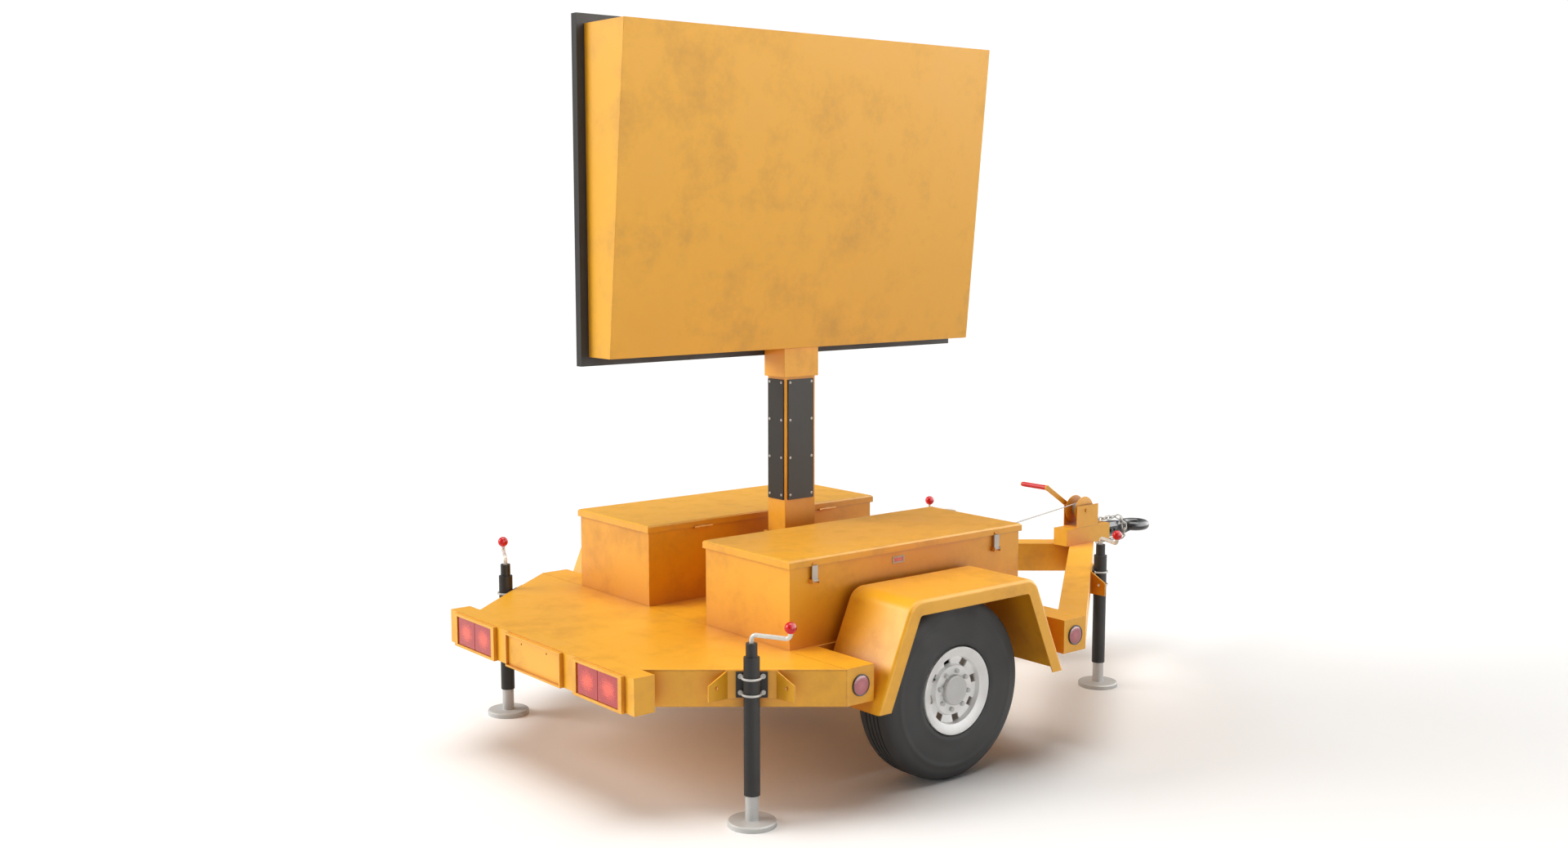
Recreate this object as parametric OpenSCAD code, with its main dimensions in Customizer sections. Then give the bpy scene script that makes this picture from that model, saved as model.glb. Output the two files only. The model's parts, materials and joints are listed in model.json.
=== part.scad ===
// Arrow board trailer: a towed, jacked-up sign trailer with a winch-raised mast,
// a turning display and two lidded boxes. Millimetres, +X towards the tow eye,
// +Y to the trailer's left, +Z up. The origin is on the ground, in the middle
// of the bounding box.

/* [Frame] */
// Height of the frame's top above the ground
deck_h = 532; // [500:1:640]
// Depth of the main frame tubes
beam_h = 130; // [110:1:140]
// Overall length of the two cross members
frame_w = 2008; // [1960:1:2400]
// Width of a cross member tube
cross_w = 124; // [90:1:125]
// Mast axis to the rear cross member's rear face
bay_rear = 576; // [576:1:760]
// Mast axis to the front cross member's front face
bay_front = 647; // [640:1:800]
// Length of the tapered tail, from cross member to bumper
tail_len = 543; // [450:1:700]
// Width of the tail frame where it meets the bumper
tail_end_w = 1130; // [900:1:1300]
// Length of the bumper tube
bumper_w = 1290; // [1210:1:1500]
// Fore and aft size of the bumper tube
bumper_d = 84; // [60:1:120]
// Wall of the frame tubes
tube_wall = 5; // [3:0.5:8]
// Thickness of the deck plates
deck_t = 4; // [3:0.5:6]
// Width of a side rail
rail_w = 60; // [40:1:60]
// Outer faces of the two side rails, across the trailer
rails_w = 1400; // [1360:1:1410]

/* [Tongue] */
// Front cross member to the point where the tongue beams' outer faces meet
tongue_len = 1224; // [1000:1:1500]
// Width of a tongue beam across its own run
tongue_beam_w = 109; // [80:1:120]
// Length of the coupler tube
coupler_len = 304; // [280:1:400]
// Width of the coupler tube
coupler_w = 82; // [76:1:100]
// Height of the coupler tube
coupler_h = 80; // [70:1:100]
// How far the coupler tube passes the point of the tongue
coupler_out = 65; // [40:1:120]
// Coupler tube's front face to the centre of the tow eye
eye_reach = 229; // [190:1:300]
// Hole of the tow eye
eye_bore = 68; // [50:1:76]
// Diameter of the round bar of the tow eye
eye_bar = 44; // [36:1:50]

/* [Running gear] */
// Axle position forward of the mast axis
axle_x = 5; // [0:1:10]
// Outer diameter of a tyre
tyre_d = 680; // [640:1:690]
// Width of a tyre
tyre_w = 190; // [160:1:200]
// Distance between the centre planes of the two wheels
track = 1714; // [1710:1:1730]
// Diameter of the rim's outer flange
rim_d = 326; // [310:1:360]
// Radius of the wheel spindle
spindle_r = 20; // [16:1:24]
// Radial running clearance of turning parts
run_fit = 0.05; // [0.02:0.01:0.1]

/* [Fenders] */
// Height of the fender's top
fender_top = 734; // [725:1:780]
// Height of the fender's lower ends
fender_low = 357; // [320:1:400]
// Half length of the fender along its top
fender_top_half = 311; // [300:1:320]
// Half length of the fender at its lower ends
fender_low_half = 472; // [460:1:474]
// Outer corner radius of the fender
fender_r = 70; // [50:1:90]
// Depth of the fender's side lips
fender_lip = 55; // [30:1:60]
// Width of the fender across the trailer
fender_w = 325; // [300:1:340]
// Fender sheet thickness
fender_t = 4; // [2:0.5:5]

/* [Boxes] */
// Length of an equipment box
box_len = 1171; // [1000:1:1180]
// Width of an equipment box
box_w = 500; // [420:1:505]
// Height of the box's walls
box_h = 316; // [240:1:330]
// Gap between the two boxes
box_gap = 380; // [380:1:420]
// Sheet thickness of box and lid
box_t = 4; // [2:0.5:5]
// Height of the lid's skirt
lid_h = 29; // [24:1:40]
// Gap between the lid's skirt and the box wall
lid_gap = 5; // [4:1:8]

/* [Mast] */
// Fore and aft size of the sliding mast tube
mast_x = 154; // [120:1:160]
// Crosswise size of the sliding mast tube
mast_y = 111; // [106:1:114]
// Wall of the mast tubes
mast_wall = 6; // [4:0.5:8]
// Thickness of the wear plates on the mast
wear_t = 6; // [4:0.5:8]
// Height of the top of the fixed mast tube
sleeve_top = 800; // [760:1:820]
// Height of the sliding mast's lower end when raised
mast_low = 585; // [585:1:600]
// Height of the sliding mast's top when raised
mast_top = 1430; // [1400:1:1600]
// Radius of the turning post on top of the mast
post_r = 45; // [36:1:46]
// Radius of the hoist cable
cable_r = 3; // [2:0.5:3]
// Radius of the cable's centreline on a sheave
sheave_r = 25; // [24:1:26]

/* [Sign] */
// Length of the display panel
panel_w = 1891; // [1600:1:2300]
// Height of the display panel
panel_h = 1278; // [1100:1:1500]
// Thickness of the display panel
panel_t = 33; // [25:1:45]
// Border of the panel that shows round the housing
panel_edge = 34; // [20:1:60]
// Depth of the housing at its top
case_top_d = 260; // [200:1:300]
// Depth of the housing at its bottom
case_low_d = 142; // [136:1:180]
// Height of the square collar under the housing
collar_h = 116; // [80:1:150]
// Diameter of one lamp
lamp_d = 104; // [80:1:120]

/* [Jacks] */
// Radius of a jack's outer tube
jack_r = 28; // [26:1:32]
// Radius of the sliding leg
leg_r = 23.5; // [20:0.5:24]
// Radius of the round foot
foot_r = 85; // [70:1:110]
// Rear jacks: distance along the tail rail from the cross member's corner
jack_rear_pos = 323; // [250:1:400]
// Front jacks: distance along the tongue beam from the cross member's corner
jack_front_pos = 931; // [700:1:1000]
// Length of the crank's arm
crank_len = 145; // [120:1:180]
// Radius of the crank knob
knob_r = 21; // [16:1:26]

/* [Winch] */
// Radius of the drum's flanges
flange_r = 65; // [50:1:66]
// Height of the drum's axis above the coupler tube
drum_h = 78; // [76:1:90]
// Length of the ratchet lever
lever_len = 206; // [160:1:230]

/* [Hidden] */
$fn = 64;

eps = 0.01;
clear = 0.5;          // assembly clearance between fixed and sliding sheet metal
touch = 0.3;          // gap between parts that only meet end to end

// frame stations along X
x_r0 = -bay_rear;
x_r1 = x_r0 + cross_w;
x_f1 = bay_front;
x_f0 = x_f1 - cross_w;
x_b1 = x_r0 - tail_len;
x_b0 = x_b1 - bumper_d;
half_w = frame_w / 2;
z_bot = deck_h - beam_h;
lamp_proud = 15;

// tongue
x_apex = x_f1 + tongue_len;
x_cf = x_apex + coupler_out;
x_cr = x_cf - coupler_len;
z_ct = deck_h + coupler_h;
// the ring is bored out by 3 mm, which leaves a straight wall in its hole
eye_ring = (eye_bore + eye_bar) / 2 - 3;
x_eye = x_cf + eye_reach;
z_eye = deck_h + coupler_h / 2;
ang_tongue = atan2(half_w, tongue_len);
ang_tail = atan2(half_w - tail_end_w / 2, tail_len);

// the whole trailer is moved so that its box is centred on the origin
x_mid = (x_b0 - lamp_proud + x_eye + eye_ring + eye_bar / 2) / 2;

// wheels
wheel_z = tyre_d / 2;
wheel_y = track / 2;
tyre_h = tyre_w / 2;
rim_r = rim_d / 2;
bead_r = rim_r - 6;
hub_r = 45;

// fenders: outer face just outside the cross members' ends
fender_y1 = half_w + 41;
fender_y0 = fender_y1 - fender_w;

// torsion axle
axle_bar = 70;
arm_len = 160;
axle_z = wheel_z + 5;
arm_y0 = rails_w / 2 - 10;
arm_t = 40;

// boxes and lids
box_x0 = x_r0 + 5;
box_x1 = box_x0 + box_len;
box_y0 = box_gap / 2;
box_y1 = box_y0 + box_w;
box_top = deck_h + box_h;
lid_out = lid_gap + box_t;
lid_z0 = box_top + 3 + box_t - lid_h;
lid_top = lid_z0 + lid_h;
hinge_r = 4.5;
hinge_y = box_y0 - lid_out - hinge_r - clear;
hinge_z = lid_z0;
pin_r = 2;
hinge_at = [box_len * 0.22, box_len * 0.78];
hinge_len = 90;
latch_at = [box_len * 0.09, box_len * 0.882];
latch_y = box_y1 + lid_out + 5;
latch_z = lid_z0 - 55;
latch_w = 26;

// mast
pad_gap = wear_t + clear;
front_gap = 24;
sl_x0 = -mast_x / 2 - pad_gap;
sl_x1 = mast_x / 2 + front_gap;
sl_y = mast_y / 2 + pad_gap;
sleeve_low = 150;
cable_x = mast_x / 2 + front_gap - 9;
top_sheave_x = cable_x + sheave_r;
top_sheave_z = sleeve_top - 27;
foot_sheave_x = top_sheave_x + 2 * sheave_r;
foot_sheave_z = deck_h + 8 + sheave_r + 9;
shoe_h = 30;
wear_z0 = 937;
wear_len = 483;

// sign
case_low = mast_top + collar_h;
panel_low = case_low - panel_edge;
case_w = panel_w - 2 * panel_edge + 2;
case_h = panel_h - 2 * panel_edge - 2;
collar_x = mast_x + 20;
collar_y = mast_y + 17;
panel_y = collar_y / 2 + 2;
case_t = 3;
plate_in = 8;

// jacks
jack_off = 6 + 6 + jack_r;
jack_low = 107;
jack_top = deck_h + 55;
neck_r = 20;
neck_top = jack_top + 48;
slide_fit = 0.1;
rod_r = 8;
elbow_r = rod_r + 0.6;
foot_h = 20;
leg_top = 450;
arm_z = neck_top + 28;
knob_z = arm_z + 38;
crank_ang_rear = 155;
crank_ang_front = 29;

// winch
drum_x = x_cf - 174;
drum_z = z_ct + drum_h;
drum_shaft_r = 8;
wrap_r = 30;
lever_ang = 146.5;
lever_y0 = 48;

module place() { translate([-x_mid, 0, 0]) children(); }
module right() { mirror([0, 1, 0]) children(); }
module both() { children(); mirror([0, 1, 0]) children(); }

// ---------- frame ----------

module cross_member(x) {
    difference() {
        translate([x, -half_w, z_bot]) cube([cross_w, frame_w, beam_h]);
        translate([x + tube_wall, -half_w + tube_wall, z_bot + tube_wall])
            cube([cross_w - 2 * tube_wall, frame_w - 2 * tube_wall,
                  beam_h - 2 * tube_wall]);
        for (y = [-half_w * 0.6, half_w * 0.6])
            translate([x + cross_w / 2, y, z_bot - 1])
                cylinder(r = 6, h = tube_wall + 2);
    }
}

module rear_cross_member() color("orange") place() cross_member(x_r0);
module front_cross_member() color("orange") place() cross_member(x_f0);

bearer_w = 50;
bearer_h = 70;
module side_rails() color("orange") place() {
    both() difference() {
        union() {
            translate([x_r1, rails_w / 2 - rail_w, z_bot])
                cube([x_f0 - x_r1, rail_w, beam_h - deck_t]);
            // short arms that carry the fender
            for (x = [-fender_low_half + 95, fender_low_half - 135])
                translate([axle_x + x, rails_w / 2 - eps, z_bot + 25])
                    cube([40, fender_y0 - rails_w / 2 + eps, 40]);
        }
        translate([x_r1 + tube_wall, rails_w / 2 - rail_w + tube_wall,
                   z_bot + tube_wall])
            cube([x_f0 - x_r1 - 2 * tube_wall, rail_w - 2 * tube_wall,
                  beam_h - deck_t - 2 * tube_wall]);
        translate([axle_x, rails_w / 2 - rail_w / 2, z_bot - 1])
            cylinder(r = 6, h = tube_wall + 2);
    }
    // two bearers under the deck, one each side of the mast
    for (x = [sl_x0 - mast_wall - 14 - bearer_w, sl_x1 + mast_wall + 14])
        translate([x, -rails_w / 2 + rail_w, deck_h - deck_t - bearer_h])
            difference() {
                cube([bearer_w, rails_w - 2 * rail_w, bearer_h]);
                translate([tube_wall, -1, tube_wall])
                    cube([bearer_w - 2 * tube_wall, rails_w, bearer_h - 2 * tube_wall]);
            }
}

// one tapered rail of the tail, between the cross member and the bumper
module tail_rail() {
    e = tail_end_w / 2;
    k = rail_w / cos(ang_tail);
    difference() {
        translate([0, 0, z_bot]) linear_extrude(beam_h - deck_t)
            polygon([[x_r0, half_w], [x_r0, half_w - k], [x_b1, e - k], [x_b1, e]]);
        translate([0, 0, z_bot + tube_wall])
            linear_extrude(beam_h - deck_t - 2 * tube_wall)
            polygon([[x_r0 - tube_wall, half_w - 12], [x_r0 - tube_wall, half_w - k + 2],
                     [x_b1 + tube_wall, e - k + 8], [x_b1 + tube_wall, e - 4]]);
        translate([(x_r0 + x_b1) / 2, (half_w + e - k) / 2, z_bot - 1])
            cylinder(r = 6, h = tube_wall + 2);
    }
}
module tail_rails() color("orange") place() both() tail_rail();

module deck_plates() color("orange") place() {
    difference() {
        translate([x_r1, -rails_w / 2, deck_h - deck_t])
            cube([x_f0 - x_r1, rails_w, deck_t]);
        translate([sl_x0 - mast_wall - 1, -sl_y - mast_wall - 1, deck_h - deck_t - 1])
            cube([sl_x1 - sl_x0 + 2 * mast_wall + 2, 2 * (sl_y + mast_wall) + 2, deck_t + 2]);
    }
    translate([0, 0, deck_h - deck_t]) linear_extrude(deck_t)
        polygon([[x_r0, half_w], [x_r0, -half_w],
                 [x_b1, -tail_end_w / 2], [x_b1, tail_end_w / 2]]);
}

module bumper() color("orange") place() difference() {
    translate([x_b0, -bumper_w / 2, z_bot]) cube([bumper_d, bumper_w, beam_h]);
    translate([x_b0 + tube_wall, -bumper_w / 2 + tube_wall, z_bot + tube_wall])
        cube([bumper_d - 2 * tube_wall, bumper_w - 2 * tube_wall,
              beam_h - 2 * tube_wall]);
    for (y = [-bumper_w * 0.35, bumper_w * 0.35])
        translate([x_b0 + bumper_d / 2, y, z_bot - 1])
            cylinder(r = 6, h = tube_wall + 2);
}

lamp_frame_w = bumper_w * 0.24;
lamp_frame_y = bumper_w * 0.337;
lens_w = lamp_frame_w / 2 - 24;
lens_h = beam_h - 20;
holder_w = bumper_w * 0.3;
module lamp_housings() color("orange") place() {
    for (y = [-lamp_frame_y, lamp_frame_y]) difference() {
        translate([x_b0 - lamp_proud, y - lamp_frame_w / 2, z_bot - 2])
            cube([lamp_proud, lamp_frame_w, beam_h]);
        translate([x_b0 - lamp_proud - 1, y - lens_w - 2, z_bot + 8])
            cube([lamp_proud - 3, 2 * lens_w + 4, lens_h]);
    }
    difference() {
        translate([x_b0 - lamp_proud, -holder_w / 2, z_bot - 1])
            cube([lamp_proud, holder_w, beam_h - 3]);
        translate([x_b0 - lamp_proud - 1, -holder_w / 2 + 7, z_bot + 6])
            cube([lamp_proud - 4, holder_w - 14, beam_h - 17]);
        for (y = [-89, 89]) translate([x_b0 - lamp_proud - 1, y, z_bot + beam_h * 0.78])
            rotate([0, 90, 0]) cylinder(r = 3.5, h = lamp_proud + 1);
    }
}

module tail_lenses() color("red") place()
    for (y = [-lamp_frame_y, lamp_frame_y], s = [-1, 1])
        translate([x_b0 - 12, y + s * (lens_w / 2 + 0.5) - (lens_w - 1) / 2, z_bot + 8.5])
            difference() {
                cube([7.5, lens_w - 1, lens_h - 1]);
                translate([3, 3, 3]) cube([5, lens_w - 7, lens_h - 7]);
            }

reflector_r = 38;
module reflectors() color("indianred") place() {
    for (x = [x_r0 + cross_w / 2, x_f0 + cross_w / 2]) both()
        translate([x, half_w, deck_h - beam_h / 2]) rotate([-90, 0, 0]) {
            cylinder(r = reflector_r, h = 4);
            translate([0, 0, 4]) cylinder(r1 = reflector_r - 4, r2 = reflector_r - 8, h = 3);
        }
    both() translate([box_x0 + box_len * 0.42, box_y1, lid_z0 - 44]) cube([58, 3, 26]);
}

// ---------- tongue ----------

module tongue_beam() {
    k = tongue_beam_w / cos(ang_tongue);
    m = half_w / tongue_len;
    x_in = x_f1 + (half_w - k) / m;
    t = tube_wall;
    kt = t / cos(ang_tongue);
    difference() {
        translate([0, 0, z_bot]) linear_extrude(beam_h)
            polygon([[x_f1, half_w], [x_f1, half_w - k], [x_in, 0], [x_apex, 0]]);
        translate([0, 0, z_bot + t]) linear_extrude(beam_h - 2 * t)
            polygon([[x_f1 + t, half_w - kt - t * m], [x_f1 + t, half_w - k + kt - t * m],
                     [x_in + kt / m - t / m, t], [x_apex - kt / m - t / m, t]]);
        translate([x_f1 + 60, half_w - k / 2 - 60 * m, z_bot - 1]) cylinder(r = 6, h = t + 2);
    }
}
module tongue_beams() color("orange") place() both() tongue_beam();

module coupler_tube() color("orange") place() difference() {
    translate([x_cr, -coupler_w / 2, deck_h]) cube([coupler_len, coupler_w, coupler_h]);
    translate([x_cr + 4, -coupler_w / 2 + 6, deck_h + 6])
        cube([coupler_len - 4 - 10, coupler_w - 12, coupler_h - 12]);
    translate([x_cf - 30, 0, deck_h - 1]) cylinder(r = 6, h = 8);
}

neck_h = 70;
module lunette() color("dimgray") place() {
    // neck, tapered in plan and in side view, then the ring
    difference() {
        union() {
            intersection() {
                translate([0, 0, z_eye - neck_h / 2]) linear_extrude(neck_h)
                    polygon([[x_cf, -38], [x_cf + 60, -38], [x_eye - eye_ring, -22],
                             [x_eye - eye_ring, 22], [x_cf + 60, 38], [x_cf, 38]]);
                translate([0, 60, 0]) rotate([90, 0, 0]) linear_extrude(120)
                    polygon([[x_cf, z_eye - 35], [x_cf + 70, z_eye - 35],
                             [x_eye - eye_ring, z_eye - 22], [x_eye - eye_ring, z_eye + 22],
                             [x_cf + 70, z_eye + 35], [x_cf, z_eye + 35]]);
                // bevelled long edges
                translate([x_cf, 0, z_eye]) rotate([45, 0, 0])
                    translate([0, -39.6, -39.6]) cube([eye_reach, 79.2, 79.2]);
            }
            translate([x_eye, 0, z_eye]) rotate_extrude($fn = 96)
                translate([eye_ring, 0]) circle(d = eye_bar, $fn = 48);
        }
        translate([x_eye, 0, z_eye - 50]) cylinder(d = eye_bore, h = 100, $fn = 96);
    }
    // four bolt heads on the neck's flange sides
    for (s = [-1, 1], x = [x_cf + 18, x_cf + 44])
        translate([x, s * 38, z_eye]) rotate([-s * 90, 0, 0]) cylinder(r = 9, h = 6, $fn = 6);
}

// one chain link lying in its local XZ plane, long side on X
link_in = 30;        // inside length of a link
link_wire = 3.2;
link_half = 6.5;     // half its inside width
module link() {
    straight = link_in - 2 * link_half;
    for (s = [-1, 1]) {
        translate([-straight / 2, 0, s * (link_half + link_wire)])
            rotate([0, 90, 0]) cylinder(r = link_wire, h = straight, $fn = 20);
        translate([s * straight / 2, 0, 0]) rotate([90, 0, 0])
            rotate([0, 0, s > 0 ? -90 : 90])
                rotate_extrude(angle = 180, $fn = 40)
                    translate([link_half + link_wire, 0]) circle(r = link_wire, $fn = 20);
    }
}
pitch = link_in - 0.8;
chain_rise = 14;     // a run's height over the coupler tube's face
chain_z = z_ct + chain_rise;
chain_low_z = deck_h - chain_rise;
chain_r = (chain_z - chain_low_z) / 2;
chain_eye_r = 13;
chain_eye_hole_r = 8.7;
eye_t = 5;
module safety_chain() color("silver") place() {
    run_top = 4;
    run_low = 3;
    turns = 6;
    x_turn = x_cf + 100;
    x_run = x_turn - 32;
    // along the top of the coupler tube, and back under it
    for (s = [-1, 1], i = [0 : s > 0 ? run_top : run_low])
        translate([x_run - i * pitch, 0, z_eye + s * chain_r])
            rotate([i % 2 == 0 ? 45 : -45, 0, 0]) link();
    // down one side of the neck
    for (i = [0 : turns - 1]) {
        a = 90 - (i + 0.5) * 180 / turns;
        translate([x_turn, -chain_r * 0.9 * cos(a), z_eye + chain_r * sin(a)])
            rotate([90 - a, 0, 0]) rotate([0, 0, 90]) rotate([i % 2 == 0 ? 45 : -45, 0, 0])
                link();
    }
    // the eye plates that hold the two ends
    for (s = [-1, 1]) {
        x_end = x_run - (s > 0 ? run_top : run_low) * pitch - link_in / 2 - link_wire;
        difference() {
            union() {
                translate([x_end, eye_t / 2, z_eye + s * chain_r]) rotate([90, 0, 0])
                    cylinder(r = chain_eye_r, h = eye_t);
                translate([x_end - chain_eye_r, -eye_t / 2, s > 0 ? z_ct : chain_low_z])
                    cube([2 * chain_eye_r, eye_t, chain_rise]);
            }
            translate([x_end, eye_t, z_eye + s * chain_r]) rotate([90, 0, 0])
                cylinder(r = chain_eye_hole_r, h = 2 * eye_t);
        }
    }
}

// ---------- running gear ----------

module torsion_axle() color("dimgray") place() {
    xt = axle_x + arm_len;
    difference() {
        translate([xt - axle_bar / 2, -arm_y0, axle_z - axle_bar / 2])
            cube([axle_bar, 2 * arm_y0, axle_bar]);
        translate([xt - axle_bar / 2 + 6, -arm_y0 + 20, axle_z - axle_bar / 2 + 6])
            cube([axle_bar - 12, 2 * arm_y0 - 40, axle_bar - 12]);
        translate([xt, 0, axle_z - axle_bar]) cylinder(r = 6, h = axle_bar);
    }
    both() {
        // seat between the axle bar and the side rail
        translate([xt - 60, rails_w / 2 - rail_w, axle_z + axle_bar / 2])
            cube([120, rail_w, z_bot - axle_z - axle_bar / 2]);
        // trailing arm and spindle
        translate([xt, arm_y0, axle_z]) rotate([-90, 0, 0]) cylinder(r = 42, h = arm_t);
        translate([axle_x, arm_y0, wheel_z]) rotate([-90, 0, 0]) cylinder(r = 32, h = arm_t);
        translate([axle_x, arm_y0, wheel_z - 28]) cube([arm_len, arm_t, 56]);
        translate([axle_x, arm_y0 + arm_t - eps, wheel_z]) rotate([-90, 0, 0])
            cylinder(r = spindle_r, h = wheel_y + tyre_h - 29 - arm_y0 - arm_t);
    }
}

// wheel parts stand on local Z: 0 is the wheel's centre plane, +Z is outboard
module tyre() rotate_extrude($fn = 128) {
    R = tyre_d / 2;
    H = tyre_h;
    difference() {
        polygon([[bead_r + 0.3, -H + 13], [rim_r + 2, -H + 13], [rim_r + 7, -H + 3],
                 [rim_r + 25, -H + 1], [R * 0.7, -H], [R * 0.83, -H + 2], [R * 0.92, -H + 8],
                 [R * 0.965, -H + 17], [R * 0.99, -H + 30], [R, -H + 48],
                 [R, H - 48], [R * 0.99, H - 30], [R * 0.965, H - 17], [R * 0.92, H - 8],
                 [R * 0.83, H - 2], [R * 0.7, H], [rim_r + 25, H - 1], [rim_r + 7, H - 3],
                 [rim_r + 2, H - 13], [bead_r + 0.3, H - 13]]);
        polygon([[bead_r - 1, -H + 34], [rim_r + 12, -H + 28], [rim_r + 30, -H + 14],
                 [R * 0.8, -H + 16], [R * 0.92, -H + 34], [R - 18, -H + 60],
                 [R - 18, H - 60], [R * 0.92, H - 34], [R * 0.8, H - 16],
                 [rim_r + 30, H - 14], [rim_r + 12, H - 28], [bead_r - 1, H - 34]]);
    }
}

lip_r = rim_r - 36;
seat_r = lip_r - 36;
stud_r = (hub_r + seat_r) / 2 + 3;
disc_z = tyre_h - 22;
module wheel() {
    H = tyre_h;
    difference() {
        rotate_extrude($fn = 96) polygon([
            // outer face, from the flange in to the bore
            [rim_r, H - 8], [rim_r, H], [rim_r - 4, H + 0.5], [lip_r, H - 12],
            [lip_r - 4, H - 30], [seat_r + 6, H - 34], [seat_r, disc_z + 2],
            [hub_r + 14, disc_z + 2], [hub_r + 8, disc_z], [hub_r, disc_z],
            // back of the disc, then the barrel
            [hub_r, disc_z - 6], [seat_r - 5, disc_z - 6], [seat_r + 2, H - 41],
            [lip_r, H - 37], [lip_r + 5, H - 20], [bead_r - 8, H - 20],
            [bead_r - 8, -H + 14], [rim_r - 5, -H + 8], [rim_r - 5, -H],
            [rim_r, -H], [rim_r, -H + 12], [bead_r, -H + 13], [bead_r, H - 12],
            [rim_r - 0.5, H - 12]]);
        for (a = [0 : 45 : 315]) rotate([0, 0, a + 12])
            translate([(lip_r + seat_r) / 2 + 1 - 13, -16, H - 60]) cube([26, 32, 50]);
        for (a = [0 : 45 : 315]) rotate([0, 0, a + 35])
            translate([stud_r, 0, disc_z - 20]) cylinder(r = 6.5, h = 40, $fn = 24);
    }
}

module hub() {
    difference() {
        union() {
            translate([0, 0, -20]) cylinder(r = hub_r - 0.3, h = disc_z + 20 + touch);
            translate([0, 0, disc_z - 6 - touch - 8]) cylinder(r = seat_r - 8, h = 8);
            translate([0, 0, disc_z + 2 + touch]) cylinder(r = hub_r + 10, h = 13);
            translate([0, 0, disc_z + 15 + touch]) cylinder(r1 = hub_r + 10, r2 = hub_r + 6, h = 4);
            translate([0, 0, disc_z]) cylinder(r = hub_r - 0.3, h = 4);
            for (a = [0 : 45 : 315]) rotate([0, 0, a + 35]) translate([stud_r, 0, 0]) {
                translate([0, 0, disc_z - 8]) cylinder(r = 6, h = 22, $fn = 24);
                translate([0, 0, disc_z + 2 + touch]) cylinder(r = 9.5, h = 10, $fn = 6);
            }
        }
        translate([0, 0, -21]) cylinder(r = spindle_r + run_fit, h = disc_z + 21);
    }
}

module at_wheel(s) translate([axle_x, s * wheel_y, wheel_z]) rotate([-s * 90, 0, 0]) children();
module tyre_left() color("dimgray") place() at_wheel(1) tyre();
module tyre_right() color("dimgray") place() at_wheel(-1) tyre();
module wheel_left() color("lightgray") place() at_wheel(1) wheel();
module wheel_right() color("lightgray") place() at_wheel(-1) wheel();
module hub_left() color("silver") place() at_wheel(1) hub();
module hub_right() color("silver") place() at_wheel(-1) hub();

// ---------- fenders ----------

// a trapezoid arch, its outline moved inwards by o, standing on z = low
fa = atan2(fender_top - fender_low, fender_low_half - fender_top_half);
fcx = -fender_top_half + fender_r * tan(fa / 2);
fcz = fender_top - fender_r;
module arch(o, low, y, w) {
    r = fender_r - o;
    tx = fcx - r * sin(fa);
    tz = fcz + r * cos(fa);
    bx = tx - (tz - low) / tan(fa);
    translate([axle_x, y + w, 0]) rotate([90, 0, 0]) {
        linear_extrude(w) polygon([[bx, low], [tx, tz], [fcx, fcz + r],
                                   [-fcx, fcz + r], [-tx, tz], [-bx, low]]);
        for (s = [-1, 1]) translate([s * fcx, fcz, 0]) cylinder(r = r, h = w);
    }
}
module fender() {
    difference() {
        arch(0, fender_low, fender_y0, fender_w);
        arch(fender_t, fender_low - 10, fender_y0 + fender_t, fender_w - 2 * fender_t);
        arch(fender_lip, fender_low - 10, fender_y0 - 1, fender_w + 2);
    }
}
module fender_left() color("orange") place() fender();
module fender_right() color("orange") place() right() fender();

// ---------- jacks ----------

// local frame of one jack: X along the rail, Y out of the rail's face, Z up
module at_jack(front, side) mirror([0, side > 0 ? 0 : 1, 0])
    mirror([0, 1, 0])
    translate([front ? x_f1 : x_r0, -half_w, 0])
        rotate([0, 0, front ? ang_tongue + 180 : 180 - ang_tail])
            translate([front ? -jack_front_pos : jack_rear_pos, 0, 0]) children();
module four_jacks() for (f = [false, true], s = [1, -1]) at_jack(f, s) children();

br_z = deck_h - 100;
br_h = 98;
module jack_bracket() {
    difference() {
        translate([-90, 0, br_z]) cube([180, 6, br_h]);
        for (x = [-39, 39], z = [26, 82]) translate([x, -1, br_z + z])
            rotate([-90, 0, 0]) cylinder(r = 5, h = 8, $fn = 24);
    }
    for (s = [-1, 1]) mirror([s > 0 ? 0 : 1, 0, 0]) translate([90 - 4.3, 0.05, br_z])
        rotate([0, 0, 45]) difference() {
            translate([0, 6, 0]) rotate([90, 0, 0]) linear_extrude(6)
                polygon([[0, 0], [88, 4], [88, 60], [0, br_h]]);
            translate([52, -1, 46]) rotate([-90, 0, 0]) cylinder(r = 7, h = 8, $fn = 24);
        }
}
module jack_brackets() color("orange") place() four_jacks() jack_bracket();

module jack_tubes() color("dimgray") place() four_jacks() {
    translate([0, jack_off, 0]) difference() {
        union() {
            translate([0, 0, jack_low]) cylinder(r = jack_r, h = jack_top - jack_low);
            translate([0, 0, jack_top - eps]) cylinder(r = neck_r, h = neck_top - jack_top + eps);
            // mount plate welded to the tube
            translate([-54, -jack_r - 6, br_z + 7]) cube([108, 6 + 4, br_h - 10]);
        }
        translate([0, 0, jack_low - 1]) cylinder(r = leg_r + slide_fit, h = jack_top - 10 - jack_low + 1);
        translate([0, 0, jack_top - 12]) cylinder(r = rod_r + slide_fit, h = neck_top);
        for (x = [-39, 39], z = [26, 82]) translate([x, -jack_r - 7, br_z + z])
            rotate([-90, 0, 0]) cylinder(r = 5, h = 14, $fn = 24);
    }
}

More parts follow.
